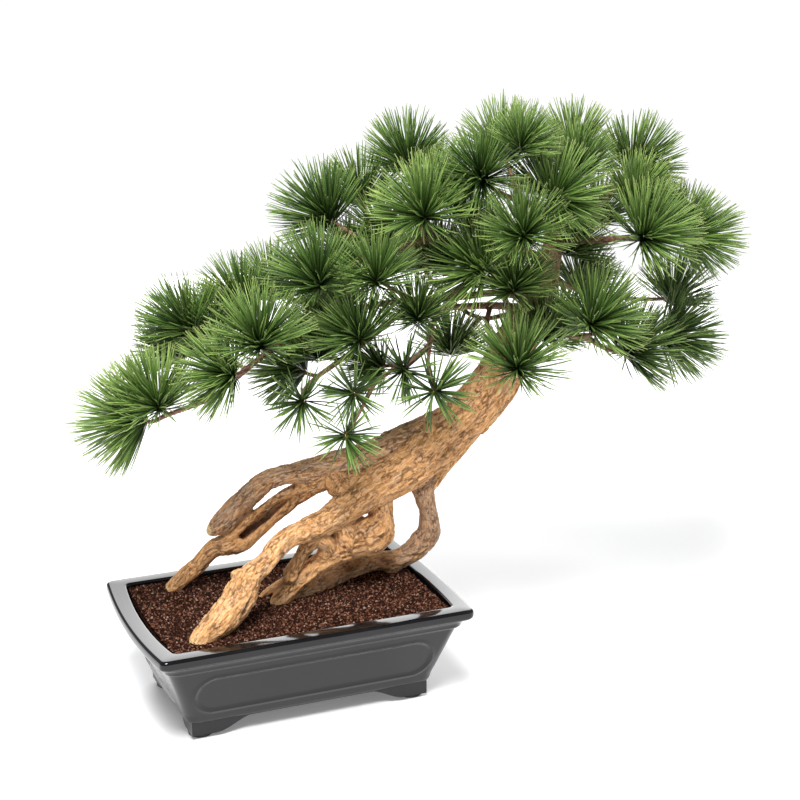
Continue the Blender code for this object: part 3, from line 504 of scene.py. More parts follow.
def grain_at(points, runs):
    """(along, across, across, radius, route number) for each point, from its nearest run."""
    start, span = runs[:, 0:3], runs[:, 3:6] - runs[:, 0:3]
    length = np.linalg.norm(span, axis=1)
    found = []
    for first in range(0, len(points), CHUNK):
        offset = points[first:first + CHUNK, None, :] - start
        share = np.clip((offset * span).sum(2) / length ** 2, 0, 1)
        away = offset - share[..., None] * span
        radius = runs[:, 6] + share * (runs[:, 7] - runs[:, 6])
        best = (np.linalg.norm(away, axis=2) - radius).argmin(1)
        row = np.arange(len(best))
        near = away[row, best]
        found.append(np.column_stack((
            runs[best, 14] + share[row, best] * length[best],
            (near * runs[best, 8:11]).sum(1),
            (near * runs[best, 11:14]).sum(1),
            radius[row, best],
            runs[best, 15],
        )))
    return np.concatenate(found)


def ramp(value, start, end):
    """0 before start, 1 after end and smooth between."""
    share = max(0.0, min(1.0, (value - start) / (end - start)))
    return share * share * (3 - 2 * share)


# %% Relief of the bark
def bark_relief(along, a, b, radius):
    """Height in mm and how deep in a crack a point lies, from its grain coordinates."""
    size = max(0.4, min(1.0, radius / 14.0))
    wobble = noise.noise(Vector((along * 0.06, a * 0.2, b * 0.2)))
    broad = noise.noise(Vector((along * 0.035, a * 0.11, b * 0.11 + 7.0)))
    ridge = 1.0 - 2.4 * abs(noise.noise(Vector((along * 0.03, a * 0.19, b * 0.19 + 23.0))))
    spread, centres = noise.voronoi(Vector((
        along * 0.085 + wobble * 0.7, a * 0.23 + wobble * 0.5, b * 0.23,
    )))
    crack = 1.0 - ramp(spread[1] - spread[0], 0.02, 0.26)
    patchy = ramp(noise.noise(Vector((along * 0.05 + 40.0, a * 0.1, b * 0.1))), -0.35, 0.2)
    crack *= patchy
    flake = noise.noise(centres[0] * 5.3)
    fine = noise.noise(Vector((along * 0.3, a * 0.8, b * 0.8)))
    height = size * (
        1.7 * broad + 0.75 * ridge + 0.75 * flake + 0.4 * fine - 1.5 * crack
    )
    return height, crack


# Rings of healed wood round old side roots: (place, radius, height).
KNOTS = (
    ((80, -28, 188), 5.0, 2.6), ((102, -27, 190), 5.5, 3.0), ((61, -27, 175), 4.0, 2.2),
    ((94, -30, 214), 4.5, 1.8), ((-1, -21, 149), 6.0, 3.2), ((-84, -72, 170), 5.0, 2.6),
    ((8, -41, 206), 6.0, 2.0), ((37, -34, 212), 5.0, 1.8), ((185, -4, 154), 6.0, 3.0),
    ((-24, 22, 262), 5.0, 1.6), ((154, -25, 291), 6.5, 1.5), ((196, -34, 318), 5.0, 1.4),
    ((116, -27, 180), 4.5, 2.2), ((101, -30, 167), 4.0, 1.8),
)
# Slits where two strands haven't closed: (points, half width, depth).
SLITS = (
    (((-36, 47, 178), (-18, 44, 191), (0, 38, 204), (17, 31, 218)), 4.0, 5.0),
    (((-77, -79, 133), (-66, -76, 153)), 2.0, 4.0),
    (((73, -32, 172), (47, -29, 161), (17, -21, 146)), 2.2, 2.4),
    (((40, 2, 254), (64, -2, 262), (96, -8, 262)), 2.0, 2.0),
    (((170, -28, 255), (205, -34, 300), (238, -44, 345)), 1.8, 1.8),
)
# Cut or torn root ends, which are paler: (place, reach).
CUT_ENDS = (
    ((-130, -73, 106), 17), ((-17, -6, 107), 12), ((-119, 77, 109), 13), ((-76, 54, 186), 10),
    ((-29, 20, 107), 8),
)
# How grey and weathered the bark of a strand is. The others have the fresher bark.
WEATHERED = {"loop_root": 0.75, "back_root_top": 0.6, "low_root": 0.55, "back_root_web": 0.5}
FRESH = 0.12
CROWN_START, CROWN_END = 330.0, 470.0  # the trunk turns greyer between these heights
CROWN_AGE = 0.85


def distance_to_line(points, line):
    """How far each point is from a line through several corners."""
    nearest = np.full(len(points), np.inf)
    for start, end in zip(line, line[1:]):
        start, span = np.array(start, float), np.array(end, float) - np.array(start, float)
        share = np.clip(((points - start) @ span) / (span @ span), 0, 1)
        away = points - start - share[:, None] * span
        nearest = np.minimum(nearest, np.linalg.norm(away, axis=1))
    return nearest


def points_of(mesh, key="co"):
    """Every vertex's place, or its normal with the key "normal"."""
    flat = np.empty(len(mesh.vertices) * 3)
    mesh.vertices.foreach_get(key, flat)
    return flat.reshape(-1, 3)


def store(mesh, name, values):
    """Keeps a number or a vector for each vertex, for a material to read."""
    kind = "FLOAT" if values.ndim == 1 else "FLOAT_VECTOR"
    kept = mesh.attributes.new(name, kind, "POINT")
    key = "value" if values.ndim == 1 else "vector"
    kept.data.foreach_set(key, values.astype(np.float32).ravel())


def settle(mesh, points):
    """Moves the vertices to points, given in mm from the pot's middle, in the model's frame."""
    moved = points * MM + np.array(POT_CENTRE)
    mesh.vertices.foreach_set("co", moved.astype(np.float32).ravel())
    mesh.update()
    for face in mesh.polygons:
        face.use_smooth = True


print("knots:", len(KNOTS), " slits:", len(SLITS), " cut ends:", len(CUT_ENDS))

# %% Trunk skin with its bark
TRUNK_VOXEL = 1.62
STRAND_SHIFT = 61.0  # keeps the bark of one strand from repeating on the next
RING_WIDTH = 1.7  # of the ring round a knot
DIMPLE_SHARE = 0.5  # of a knot's dimple, in the ring's radius and in its height
RING_CRACKS = ((DIMPLE_SHARE, 0.0, 0.9), (1.0, 3.0, 0.7))  # share of the radius, mm, depth
# Slits are darkened with painted shade, which is full at this depth.
FULL_SHADE_DEPTH = 4.0  # a slit this deep is fully dark
CUT_FADE = 2.2  # how quickly the paler wood of a cut end starts
CUT_SMOOTHING = 0.7  # how much relief a cut end has lost

trunk_skin = fused_skin("trunk_skin", trunk_routes, TRUNK_VOXEL)
skin_points, skin_normals = points_of(trunk_skin), points_of(trunk_skin, "normal")
grain = grain_at(skin_points, runs_of(trunk_routes))
grain[:, 0] += grain[:, 4] * STRAND_SHIFT
relief = np.array([bark_relief(*row) for row in grain[:, :4]])
height, crack = relief[:, 0], relief[:, 1]
for place, ring_radius, ring_height in KNOTS:
    away = np.linalg.norm(skin_points - np.array(place, float), axis=1)
    height += ring_height * np.exp(-((away - ring_radius) / RING_WIDTH) ** 2)
    height -= ring_height * DIMPLE_SHARE * np.exp(-(away / (ring_radius * DIMPLE_SHARE)) ** 2)
    for share, beyond, depth in RING_CRACKS:
        crack = np.maximum(crack, depth * np.exp(-(away - ring_radius * share - beyond) ** 2))
# Painted shade for the slits, darker the deeper a slit is cut.
slit_shade = np.zeros(len(skin_points))
for line, half_width, depth in SLITS:
    closeness = np.exp(-(distance_to_line(skin_points, line) / half_width) ** 2)
    height -= depth * closeness
    slit_shade = np.maximum(slit_shade, closeness * min(1.0, depth / FULL_SHADE_DEPTH))
pale = np.zeros(len(skin_points))
for place, reach in CUT_ENDS:
    away = np.linalg.norm(skin_points - np.array(place, float), axis=1)
    pale = np.maximum(pale, np.clip((reach - away) / reach * CUT_FADE, 0, 1))
height *= 1 - CUT_SMOOTHING * pale
strand_age = np.array([WEATHERED.get(name, FRESH) for name in STRANDS])
age = np.maximum(
    strand_age[grain[:, 4].astype(int)],
    np.clip((skin_points[:, 2] - CROWN_START) / (CROWN_END - CROWN_START), 0, 1) * CROWN_AGE,
)
store(trunk_skin, "grain", grain[:, :3])
store(trunk_skin, "crack", crack * (1 - pale))
store(trunk_skin, "age", age)
store(trunk_skin, "pale", pale)
store(trunk_skin, "slit_shade", slit_shade)
settle(trunk_skin, skin_points + skin_normals * height[:, None])
print("trunk triangles:", triangles(trunk_skin), " relief mm:",
      round(float(height.min()), 1), "to", round(float(height.max()), 1))

# %% Limb skins
LIMB_VOXEL = 1.15
LIMB_RELIEF = 0.28
SCAR_PITCH, SCAR_HEIGHT = 5.5, 0.12  # twigs are ringed by the scars of old needles
SCAR_WAVE, SCAR_WANDER = 1.3, 2.0  # how the rings wander round the twig
THIN, THICK = 3.0, 8.0  # radii at which bark is all a twig's and all a limb's

limb_skins = {}
for name, routes in LIMBS.items():
    framed_routes = [framed(points) for points in routes]
    skin = fused_skin(name + "_skin", framed_routes, LIMB_VOXEL)
    points, normals = points_of(skin), points_of(skin, "normal")
    limb_grain = grain_at(points, runs_of(framed_routes))
    limb_grain[:, 0] += limb_grain[:, 4] * STRAND_SHIFT
    relief = np.array([bark_relief(*row) for row in limb_grain[:, :4]])
    scars = np.sin(limb_grain[:, 0] * math.tau / SCAR_PITCH
                   + SCAR_WANDER * np.sin(limb_grain[:, 1] * SCAR_WAVE))
    store(skin, "grain", limb_grain[:, :3])
    store(skin, "crack", relief[:, 1])
    store(skin, "thick", np.clip((limb_grain[:, 3] - THIN) / (THICK - THIN), 0, 1))
    rise = relief[:, 0] * LIMB_RELIEF + SCAR_HEIGHT * scars
    settle(skin, points + normals * rise[:, None])
    limb_skins[name] = skin
print("limb triangles:", sum(triangles(skin) for skin in limb_skins.values()))

# %% [markdown]
# ## The pot
#
# The real pot is slip cast: one wall with soft mouldings, a flared rim, sunk panels edged
# by a thin bead, and ogee feet at its corners. The wall is a stack of rings that follow a
# drawn profile. Its rows are close together, so the bead can be raised by moving the
# skin in and out, which keeps it as soft as glaze over clay. Booleans would leave it sharp.

# %% Profile of the pot
POT_HALF_LENGTH, POT_HALF_WIDTH, POT_HEIGHT = 180.0, 121.5, 117.0
WALL_FOOT, WALL_TOP = 31.0, 92.0
WALL_FOOT_INSET, WALL_TOP_INSET = 34.0, 13.5
WALL_ROWS = 44
CORNER_STEPS = 8
LONG_STEPS, SHORT_STEPS = 150, 104
PROFILE_SHARES = (0.0, 0.34, 0.67)  # where points are added between two of the profile's
FLOOR_TOP = 30.0

# (inset from the rim's edge, height); None starts a run that isn't smoothed into the last.
UNDERSIDE = ((46.0, 16.0), (46.0, 20.0), None, (41.2, 20.0), (39.0, 20.5), (37.2, 22.2),
             (35.8, 25.5), (34.8, 28.5), (WALL_FOOT_INSET, WALL_FOOT))
MOULDING = ((WALL_TOP_INSET, WALL_TOP), (12.6, 93.0), (10.6, 93.8), (9.4, 95.4), (8.6, 98.0),
            (6.9, 101.5), (4.6, 103.6), None, (4.4, 104.6), (2.2, 104.9), (0.7, 106.2),
            (0.0, 108.5), (0.0, 113.2), (0.7, 115.4), (2.2, 116.7), (4.2, POT_HEIGHT), None,
            (16.6, POT_HEIGHT), (18.2, 116.6), (19.2, 115.4), (19.6, 113.0))
# Rings of the inside: (half length, half width, height).
INSIDE = ((160.0, 101.0, 111.0), (158.5, 99.0, 95.0), (136.5, 78.5, 32.0),
          (131.0, 73.0, FLOOR_TOP))

# Corner radius, swing of the short sides and sag of their middle, by height.
HEIGHTS = (16, WALL_FOOT, WALL_TOP, 102, 105, 108, POT_HEIGHT)
CORNER_RADII = (8, 13, 12, 12, 9, 7, 6)
SWINGS = (3, 3, 6, 6, 7, 7, 7)
SAGS = (0, 0.5, 3, 3.5, 4, 4, 4)


def smoothed(profile):
    """The profile with each run rounded off, and a doubled point where a run starts."""
    runs, current = [], []
    for point in profile:
        if point is None:
            runs.append(current)
            current = []
        else:
            current.append(Vector((*point, 0.0)))
    runs.append(current)
    result = []
    for run in runs:
        result += curve_through([run[0]] + run + [run[-1]], PROFILE_SHARES) + [run[-1]]
    return [(point.x, point.y) for point in result]


def outline(half_length, half_width, z, corner, swing, sag):
    """A rounded rectangle whose short sides swing out and sag."""
    flat = []
    for quarter in range(4):
        across = 1 if quarter in (0, 3) else -1
        along = 1 if quarter in (0, 1) else -1
        for step in range(CORNER_STEPS + 1):
            angle = math.radians(90.0 * (quarter + step / CORNER_STEPS))
            flat.append((across * (half_length - corner) + corner * math.cos(angle),
                         along * (half_width - corner) + corner * math.sin(angle)))
        if quarter in (1, 3):
            reach, count = half_width - corner, SHORT_STEPS
            flat += [(across * half_length, along * reach * (1 - 2 * step / count))
                     for step in range(1, count)]
        else:
            reach, count = half_length - corner, LONG_STEPS
            flat += [(across * reach * (1 - 2 * step / count), along * half_width)
                     for step in range(1, count)]
    ring = []
    for x, y in flat:
        middle = 1 - (y / half_width) ** 2
        ring.append(Vector((x + math.copysign(swing * middle, x), y, z - sag * middle)))
    return ring


def ring_at(half_length, half_width, z):
    return outline(half_length, half_width, z, float(np.interp(z, HEIGHTS, CORNER_RADII)),
                   float(np.interp(z, HEIGHTS, SWINGS)), float(np.interp(z, HEIGHTS, SAGS)))


wall = [
    (WALL_FOOT_INSET + (WALL_TOP_INSET - WALL_FOOT_INSET) * row / WALL_ROWS,
     WALL_FOOT + (WALL_TOP - WALL_FOOT) * row / WALL_ROWS)
    for row in range(1, WALL_ROWS)
]
pot_profile = smoothed(UNDERSIDE) + wall + smoothed(MOULDING)
print("rings outside:", len(pot_profile))

# %% Panels with a bead
PANEL_MIDDLE, PANEL_RADIUS = 58.5, 25.0
PANEL_SINK, BEAD_RISE, BEAD_WIDTH = 1.1, 1.0, 1.9
LONG_PANEL, SHORT_PANEL = 114.0, 46.0
WALL_LEAN = math.atan2(WALL_FOOT_INSET - WALL_TOP_INSET, WALL_TOP - WALL_FOOT)


def with_panel(point):
    """The wall's point, sunk inside a panel's outline and raised along it."""
    if not WALL_FOOT < point.z < WALL_TOP + 1.0:
        return point
    up = (point.z - PANEL_MIDDLE) / math.cos(WALL_LEAN)
    inset = np.interp(point.z, (WALL_FOOT, WALL_TOP), (WALL_FOOT_INSET, WALL_TOP_INSET))
    on_long_side = abs(point.y) > POT_HALF_WIDTH - inset - 1.0
    along, straight = (point.x, LONG_PANEL) if on_long_side else (point.y, SHORT_PANEL)
    edge = math.hypot(max(abs(along) - straight, 0.0), up) - PANEL_RADIUS
    rise = BEAD_RISE * math.exp(-(edge / BEAD_WIDTH) ** 2) - PANEL_SINK * ramp(-edge, 0.5, 4.5)
    outward = Vector((0, math.copysign(1, point.y), 0)) if on_long_side else \
        Vector((math.copysign(1, point.x), 0, 0))
    facing = outward * math.cos(WALL_LEAN) - Vector((0, 0, math.sin(WALL_LEAN)))
    return point + facing * rise


def loft(rings):
    """A closed skin through rings of equal length, capped at both ends."""
    builder = bmesh.new()
    rows = [[builder.verts.new(point) for point in ring] for ring in rings]
    for lower, upper in zip(rows, rows[1:]):
        for index in range(len(lower)):
            after = (index + 1) % len(lower)
            builder.faces.new((lower[index], lower[after], upper[after], upper[index]))
    builder.faces.new(list(reversed(rows[0])))
    builder.faces.new(rows[-1])
    return builder


def cylinder(radius, low, high, x, y, sides):
    """A closed upright cylinder."""
    builder = bmesh.new()
    bmesh.ops.create_cone(builder, cap_ends=True, segments=sides, radius1=radius,
                          radius2=radius, depth=high - low)
    bmesh.ops.translate(builder, verts=builder.verts, vec=(x, y, (high + low) / 2))
    return from_builder("cylinder", builder)


def boolean(operation, first, others):
    """The first closed mesh with the others united with it or cut from it."""
    body = helper_object("body", first)
    partners = [helper_object("partner", mesh) for mesh in others]
    for partner in partners:
        step = body.modifiers.new("step", "BOOLEAN")
        step.operation = operation
        step.solver = "EXACT"
        step.object = partner
    result = as_mesh(body)
    for item in partners + [body]:
        bpy.data.objects.remove(item, do_unlink=True)
    return result


rings = [[with_panel(point) for point in ring_at(POT_HALF_LENGTH - inset,
                                                 POT_HALF_WIDTH - inset, z)]
         for inset, z in pot_profile]
rings += [ring_at(*station) for station in INSIDE]
DRAIN_X, DRAIN_RADIUS = 62.0, 11.0
DRILL_LOW, DRILL_HIGH, DRILL_SIDES = 13.0, 37.0, 48  # past both sides of the pot's floor
pot_wall = boolean("DIFFERENCE", from_builder("pot_wall", loft(rings)), [
    cylinder(DRAIN_RADIUS, DRILL_LOW, DRILL_HIGH, x, 0.0, DRILL_SIDES)
    for x in (-DRAIN_X, DRAIN_X)
])
print("pot wall triangles:", triangles(pot_wall))

# %% Ogee feet
FOOT_CORNER_X, FOOT_CORNER_Y = 139.0, 81.0
FOOT_THICKNESS, FOOT_FLAT, FOOT_BOTTOM, FOOT_TOP = 14.0, 27.0, 4.8, 21.0
FOOT_LONG_ARM, FOOT_SHORT_ARM = 72.0, 50.0
OGEE_STEPS, OGEE_RISE = 16, 14.7
FOOT_ROUNDING, ROUNDING_SEGMENTS = 1.4, 3
PAD_X, PAD_Y, BOSS_RADIUS, BOSS_SIDES = 125.0, 65.0, 13.0, 40
FLAT_ANGLE = math.radians(1.0)  # faces closer to flat than this become one
EDGE_ANGLE = math.radians(50)  # edges sharper than this are rounded
CREASE_ANGLE = math.radians(38)  # edges of the whole pot sharper than this stay crisp


def foot_arm(arm, turned):
    """One arm of a foot: flat near the corner, then an ogee up to the body."""
    side = [(0.0, FOOT_TOP), (0.0, FOOT_BOTTOM), (FOOT_FLAT, FOOT_BOTTOM)]
    for step in range(1, OGEE_STEPS + 1):
        share = step / OGEE_STEPS
        side.append((FOOT_FLAT + (arm - FOOT_FLAT) * share,
                     FOOT_BOTTOM + OGEE_RISE * (1 - math.cos(math.pi * share)) / 2))
    side.append((arm, FOOT_TOP))
    layers = []
    for depth in (0.0, FOOT_THICKNESS):
        if turned:
            layers.append([Vector((FOOT_CORNER_X - depth, FOOT_CORNER_Y - run, z))
                           for run, z in side])
        else:
            layers.append([Vector((FOOT_CORNER_X - run, FOOT_CORNER_Y - depth, z))
                           for run, z in side])
    builder = loft(layers)
    bmesh.ops.recalc_face_normals(builder, faces=builder.faces)
    return from_builder("foot_arm", builder)


boss = cylinder(BOSS_RADIUS, FOOT_BOTTOM, FOOT_TOP, PAD_X, PAD_Y, BOSS_SIDES)
foot_builder = bmesh.new()
foot_builder.from_mesh(boolean("UNION", foot_arm(FOOT_LONG_ARM, False),
                               (foot_arm(FOOT_SHORT_ARM, True), boss)))
bmesh.ops.dissolve_limit(foot_builder, angle_limit=FLAT_ANGLE, verts=foot_builder.verts,
                         edges=foot_builder.edges)
sharp = [edge for edge in foot_builder.edges
         if edge.is_manifold and edge.calc_face_angle() > EDGE_ANGLE]
bmesh.ops.bevel(foot_builder, geom=sharp, offset=FOOT_ROUNDING, segments=ROUNDING_SEGMENTS,
                profile=0.5, affect="EDGES", clamp_overlap=True)
foot = from_builder("foot", foot_builder)

pot_builder = bmesh.new()
pot_builder.from_mesh(pot_wall)
for x_sign in (1, -1):
    for y_sign in (1, -1):
        corner = foot.copy()
        for vertex in corner.vertices:
            vertex.co.x *= x_sign
            vertex.co.y *= y_sign
        if x_sign * y_sign < 0:
            corner.flip_normals()
        pot_builder.from_mesh(corner)
pot_skin = from_builder("pot_skin", pot_builder)
settle(pot_skin, points_of(pot_skin))
pot_skin.set_sharp_from_angle(angle=CREASE_ANGLE)
print("pot triangles:", triangles(pot_skin))

# %% [markdown]
# ## The soil
#
# The soil is a bed of fine granules, 1 to 4 mm across. A slightly uneven sheet
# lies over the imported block, and Geometry Nodes scatter granules on it. They are far too
# many to place by hand, and a bump map alone would look flat against the rim.

# %% Sheet under the granules
SOIL_TOP = 110.7
SOIL_HALF_LENGTH, SOIL_HALF_WIDTH = 158.3, 98.8
SOIL_STEP = 4.0
SOIL_SWING = 3.6
SHEET_LIFT, BROAD_SWELL, SMALL_SWELL = 2.3, 1.2, 0.6
END_DROP, DROP_START = 2.16, 0.80  # how far the sheet sinks at its short ends, and from where


def soil_height(x, y):
    broad = noise.noise(Vector((x * 0.018, y * 0.018, 3.0)))
    small = noise.noise(Vector((x * 0.07, y * 0.07, 8.0)))
    return SOIL_TOP + SHEET_LIFT + BROAD_SWELL * broad + SMALL_SWELL * small


soil_builder = bmesh.new()
columns = int(2 * SOIL_HALF_LENGTH / SOIL_STEP)
rows_across = int(2 * SOIL_HALF_WIDTH / SOIL_STEP)
sheet = []
for column in range(columns + 1):
    line = []
    for row in range(rows_across + 1):
        v = 2 * row / rows_across - 1
        u = 2 * column / columns - 1
        y = v * SOIL_HALF_WIDTH
        x = u * (SOIL_HALF_LENGTH + SOIL_SWING * (1 - v * v))
        drop = END_DROP * (1 - v * v) * ramp(abs(u), DROP_START, 1.0)
        line.append(soil_builder.verts.new((x, y, soil_height(x, y) - drop)))
    sheet.append(line)
for left, right in zip(sheet, sheet[1:]):
    for row in range(rows_across):
        soil_builder.faces.new((left[row], right[row], right[row + 1], left[row + 1]))
soil_sheet = from_builder("soil_sheet", soil_builder)
settle(soil_sheet, points_of(soil_sheet))
print("soil sheet faces:", len(soil_sheet.polygons))

# %% Geometry Nodes tree for the granules
GRANULES = 9600  # in each of two layers
GRANULE_SMALL, GRANULE_LARGE = 0.75, 2.0  # radii in mm
# Layers: name, seed, and its smallest granule as a multiple of the one above.
LAYERS = (("fine", 4, 1.0), ("coarse", 71, 1.3))


def new_tree(name, sockets):
    """An empty Geometry Nodes tree with named inputs."""
    tree = bpy.data.node_groups.new(name, "GeometryNodeTree")
    tree.interface.new_socket("Geometry", in_out="INPUT", socket_type="NodeSocketGeometry")
    for label, kind in sockets:
        tree.interface.new_socket(label, in_out="INPUT", socket_type="NodeSocket" + kind)
    tree.interface.new_socket("Geometry", in_out="OUTPUT", socket_type="NodeSocketGeometry")
    return tree, tree.nodes.new("NodeGroupInput").outputs, tree.nodes.new("NodeGroupOutput")


def random_value(tree, low, high, seed, kind="FLOAT"):
    node = add(tree, "FunctionNodeRandomValue", {"Seed": seed}, data_type=kind)
    sockets = [socket for socket in node.inputs if socket.enabled and socket.name != "ID"]
    for socket, value in zip(sockets, (low, high)):
        feed(tree, socket, value)
    return next(socket for socket in node.outputs if socket.enabled)


def another_seed(tree, seed, step):
    """A seed for one more random draw, a whole step away from the tree's own."""
    return maths(tree, "ADD", seed, float(step))


granule_tree, given, result = new_tree("soil_granules", (
    ("Count per square metre", "Float"), ("Smallest", "Float"), ("Largest", "Float"),
    ("Seed", "Int"), ("Finish", "Material"),
))
tree = granule_tree
scatter = add(tree, "GeometryNodeDistributePointsOnFaces", {
    "Mesh": given["Geometry"], "Density": given["Count per square metre"],
    "Seed": given["Seed"],
})
granule = add(tree, "GeometryNodeMeshIcoSphere", {"Radius": 1.0, "Subdivisions": 1})
stretch = random_value(tree, (0.65, 0.65, 0.5), (1.35, 1.1, 0.95), given["Seed"], "FLOAT_VECTOR")
size = random_value(tree, 0.0, 1.0, another_seed(tree, given["Seed"], 5))
size = add(tree, "ShaderNodeMath", {0: size, 1: 2.0}, operation="POWER").outputs[0]
size = add(tree, "ShaderNodeMapRange", {
    "Value": size, "To Min": given["Smallest"], "To Max": given["Largest"],
}).outputs["Result"]
scale = add(tree, "ShaderNodeVectorMath", {0: stretch, "Scale": size}, operation="SCALE")
turn = random_value(tree, (0.0, 0.0, 0.0), (math.tau, math.tau, math.tau),
                    another_seed(tree, given["Seed"], 9), "FLOAT_VECTOR")
scattered = add(tree, "GeometryNodeInstanceOnPoints", {
    "Points": scatter.outputs["Points"], "Instance": granule.outputs["Mesh"],
    "Rotation": turn, "Scale": scale.outputs[0],
})
tint = random_value(tree, 0.0, 1.0, another_seed(tree, given["Seed"], 13))
tinted = add(tree, "GeometryNodeStoreNamedAttribute", {
    "Geometry": scattered.outputs["Instances"], "Name": "tint", "Value": tint,
}, data_type="FLOAT", domain="INSTANCE")
real = add(tree, "GeometryNodeRealizeInstances", {"Geometry": tinted.outputs["Geometry"]})
dressed = add(tree, "GeometryNodeSetMaterial", {
    "Geometry": real.outputs["Geometry"], "Material": given["Finish"],
})
tree.links.new(dressed.outputs["Geometry"], result.inputs["Geometry"])


def grown(name, mesh, tree, values):
    """The mesh that a tree makes from a starting mesh, with its modifier removed."""
    seedling = helper_object(name, mesh)
    growth = seedling.modifiers.new("growth", "NODES")
    growth.node_group = tree
    for item in tree.interface.items_tree:
        if item.item_type == "SOCKET" and item.in_out == "INPUT" and item.name in values:
            growth[item.identifier] = values[item.name]
    made = as_mesh(seedling)
    bpy.data.objects.remove(seedling, do_unlink=True)
    return made


print("granule tree nodes:", len(granule_tree.nodes))

# %% [markdown]
# ## The needles
#
# Pine needles stand round the last part of a twig like the bristles of a brush. A single
# Geometry Nodes tree grows one tuft: it bends and tapers one needle, puts copies of it
# along the twig's tip, and turns each one away from the tuft's axis. The inputs set how wide
# the tuft opens, how long, thick and many its needles are, and how light their green is.
#
# Every needle carries the same UV strip: across it runs the needle's own tint, and along
# it the way from base to point. That lets a flat colour map hold every needle's colour.

# %% Geometry Nodes tree for a tuft
NEEDLE_POINTS = 5
NEEDLE_HALF_WIDTH = 0.0122  # as a share of its length
NEEDLE_BEND = 0.055  # of its middle, as a share of its length
TIP_RADIUS = 1.8  # of the twig's tip that the needles stand on, in mm
SHORTENING = 0.12  # of the needles that lean furthest

needle_tree, given, result = new_tree("needle_tuft", (
    ("Foot", "Vector"), ("Axis", "Vector"), ("Reach", "Float"), ("Needles", "Int"),
    ("Opening", "Float"), ("Tip length", "Float"), ("Thickness", "Float"),
    ("Tint", "Float"), ("Seed", "Int"), ("Finish", "Material"),
))
tree = needle_tree


# one needle, a unit long, standing on the origin
spine = add(tree, "GeometryNodeCurveQuadraticBezier", {
    "Resolution": NEEDLE_POINTS - 1, "Start": (0.0, 0.0, 0.0), "Middle": (NEEDLE_BEND, 0.0, 0.5),
    "End": (0.0, 0.0, 1.0),
})
way = add(tree, "GeometryNodeSplineParameter").outputs["Factor"]
marked = add(tree, "GeometryNodeStoreNamedAttribute", {
    "Geometry": spine.outputs["Curve"], "Name": "along", "Value": way,
}, data_type="FLOAT", domain="POINT")
taper = maths(tree, "SUBTRACT", 1.0, maths(tree, "POWER", way, 9.0))
taper = maths(tree, "MULTIPLY", maths(tree, "MULTIPLY_ADD", taper, 0.6, 0.4),
              maths(tree, "MULTIPLY", given["Thickness"], NEEDLE_HALF_WIDTH))
section = add(tree, "GeometryNodeCurvePrimitiveCircle", {"Resolution": 3, "Radius": 1.0})
needle = add(tree, "GeometryNodeCurveToMesh", {
    "Curve": marked.outputs["Geometry"], "Profile Curve": section.outputs["Curve"],
    "Scale": taper, "Fill Caps": True,
})

# where each needle stands and how far it leans from the tuft's axis
stations = add(tree, "GeometryNodePoints", {"Count": given["Needles"]})
lean_share = random_value(tree, 0.0, 1.0, given["Seed"])
cosine_end = maths(tree, "COSINE", given["Opening"])
cosine = maths(tree, "MULTIPLY_ADD", lean_share, maths(tree, "SUBTRACT", cosine_end, 1.0), 1.0)
sine = maths(tree, "SQRT", maths(tree, "SUBTRACT", 1.0, maths(tree, "MULTIPLY", cosine, cosine)))
around = random_value(tree, 0.0, math.tau, another_seed(tree, given["Seed"], 101))
lean = add(tree, "ShaderNodeCombineXYZ", {
    "X": maths(tree, "MULTIPLY", sine, maths(tree, "COSINE", around)),
    "Y": maths(tree, "MULTIPLY", sine, maths(tree, "SINE", around)), "Z": cosine,
})
setback = maths(tree, "MULTIPLY", maths(tree, "MULTIPLY", given["Tip length"], -1.0),
                maths(tree, "MULTIPLY", maths(tree, "POWER", lean_share, 0.7),
                      random_value(tree, 0.45, 1.0, another_seed(tree, given["Seed"], 7))))
rim = add(tree, "ShaderNodeVectorMath", {0: lean.outputs[0], 1: (1.0, 1.0, 0.2)},
          operation="MULTIPLY")
rim = add(tree, "ShaderNodeVectorMath", {0: rim.outputs[0], "Scale": TIP_RADIUS * MM},
          operation="SCALE")
spot = add(tree, "ShaderNodeVectorMath", {
    0: rim.outputs[0], 1: add(tree, "ShaderNodeCombineXYZ", {"Z": setback}).outputs[0],
}, operation="ADD")
stood = add(tree, "GeometryNodeSetPosition", {
    "Geometry": stations.outputs["Points"], "Position": spot.outputs[0],
})
facing = add(tree, "FunctionNodeAlignRotationToVector", {"Vector": lean.outputs[0]}, axis="Z")
spin = add(tree, "FunctionNodeAxisAngleToRotation", {
    "Axis": (0.0, 0.0, 1.0),
    "Angle": random_value(tree, 0.0, math.tau, another_seed(tree, given["Seed"], 211)),
})
turned = add(tree, "FunctionNodeRotateRotation", {
    "Rotation": facing.outputs[0], "Rotate By": spin.outputs[0],
}, rotation_space="LOCAL")
length = maths(tree, "MULTIPLY", given["Reach"],
               random_value(tree, 0.88, 1.0, another_seed(tree, given["Seed"], 307)))
shorter = maths(tree, "SUBTRACT", 1.0, maths(tree, "MULTIPLY", lean_share, SHORTENING))
length = maths(tree, "MULTIPLY", length, shorter)
brush = add(tree, "GeometryNodeInstanceOnPoints", {
    "Points": stood.outputs["Geometry"], "Instance": needle.outputs["Mesh"],
    "Rotation": turned.outputs[0],
    "Scale": add(tree, "ShaderNodeCombineXYZ", {"X": length, "Y": length, "Z": length}).outputs[0],
})
chance = random_value(tree, 0.0, 1.0, another_seed(tree, given["Seed"], 401))
own_tint = maths(tree, "MULTIPLY_ADD", maths(tree, "POWER", chance, 1.6), 0.65, given["Tint"])
tinted = add(tree, "GeometryNodeStoreNamedAttribute", {
    "Geometry": brush.outputs["Instances"], "Name": "tint", "Value": own_tint,
}, data_type="FLOAT", domain="INSTANCE")
real = add(tree, "GeometryNodeRealizeInstances", {"Geometry": tinted.outputs["Geometry"]})
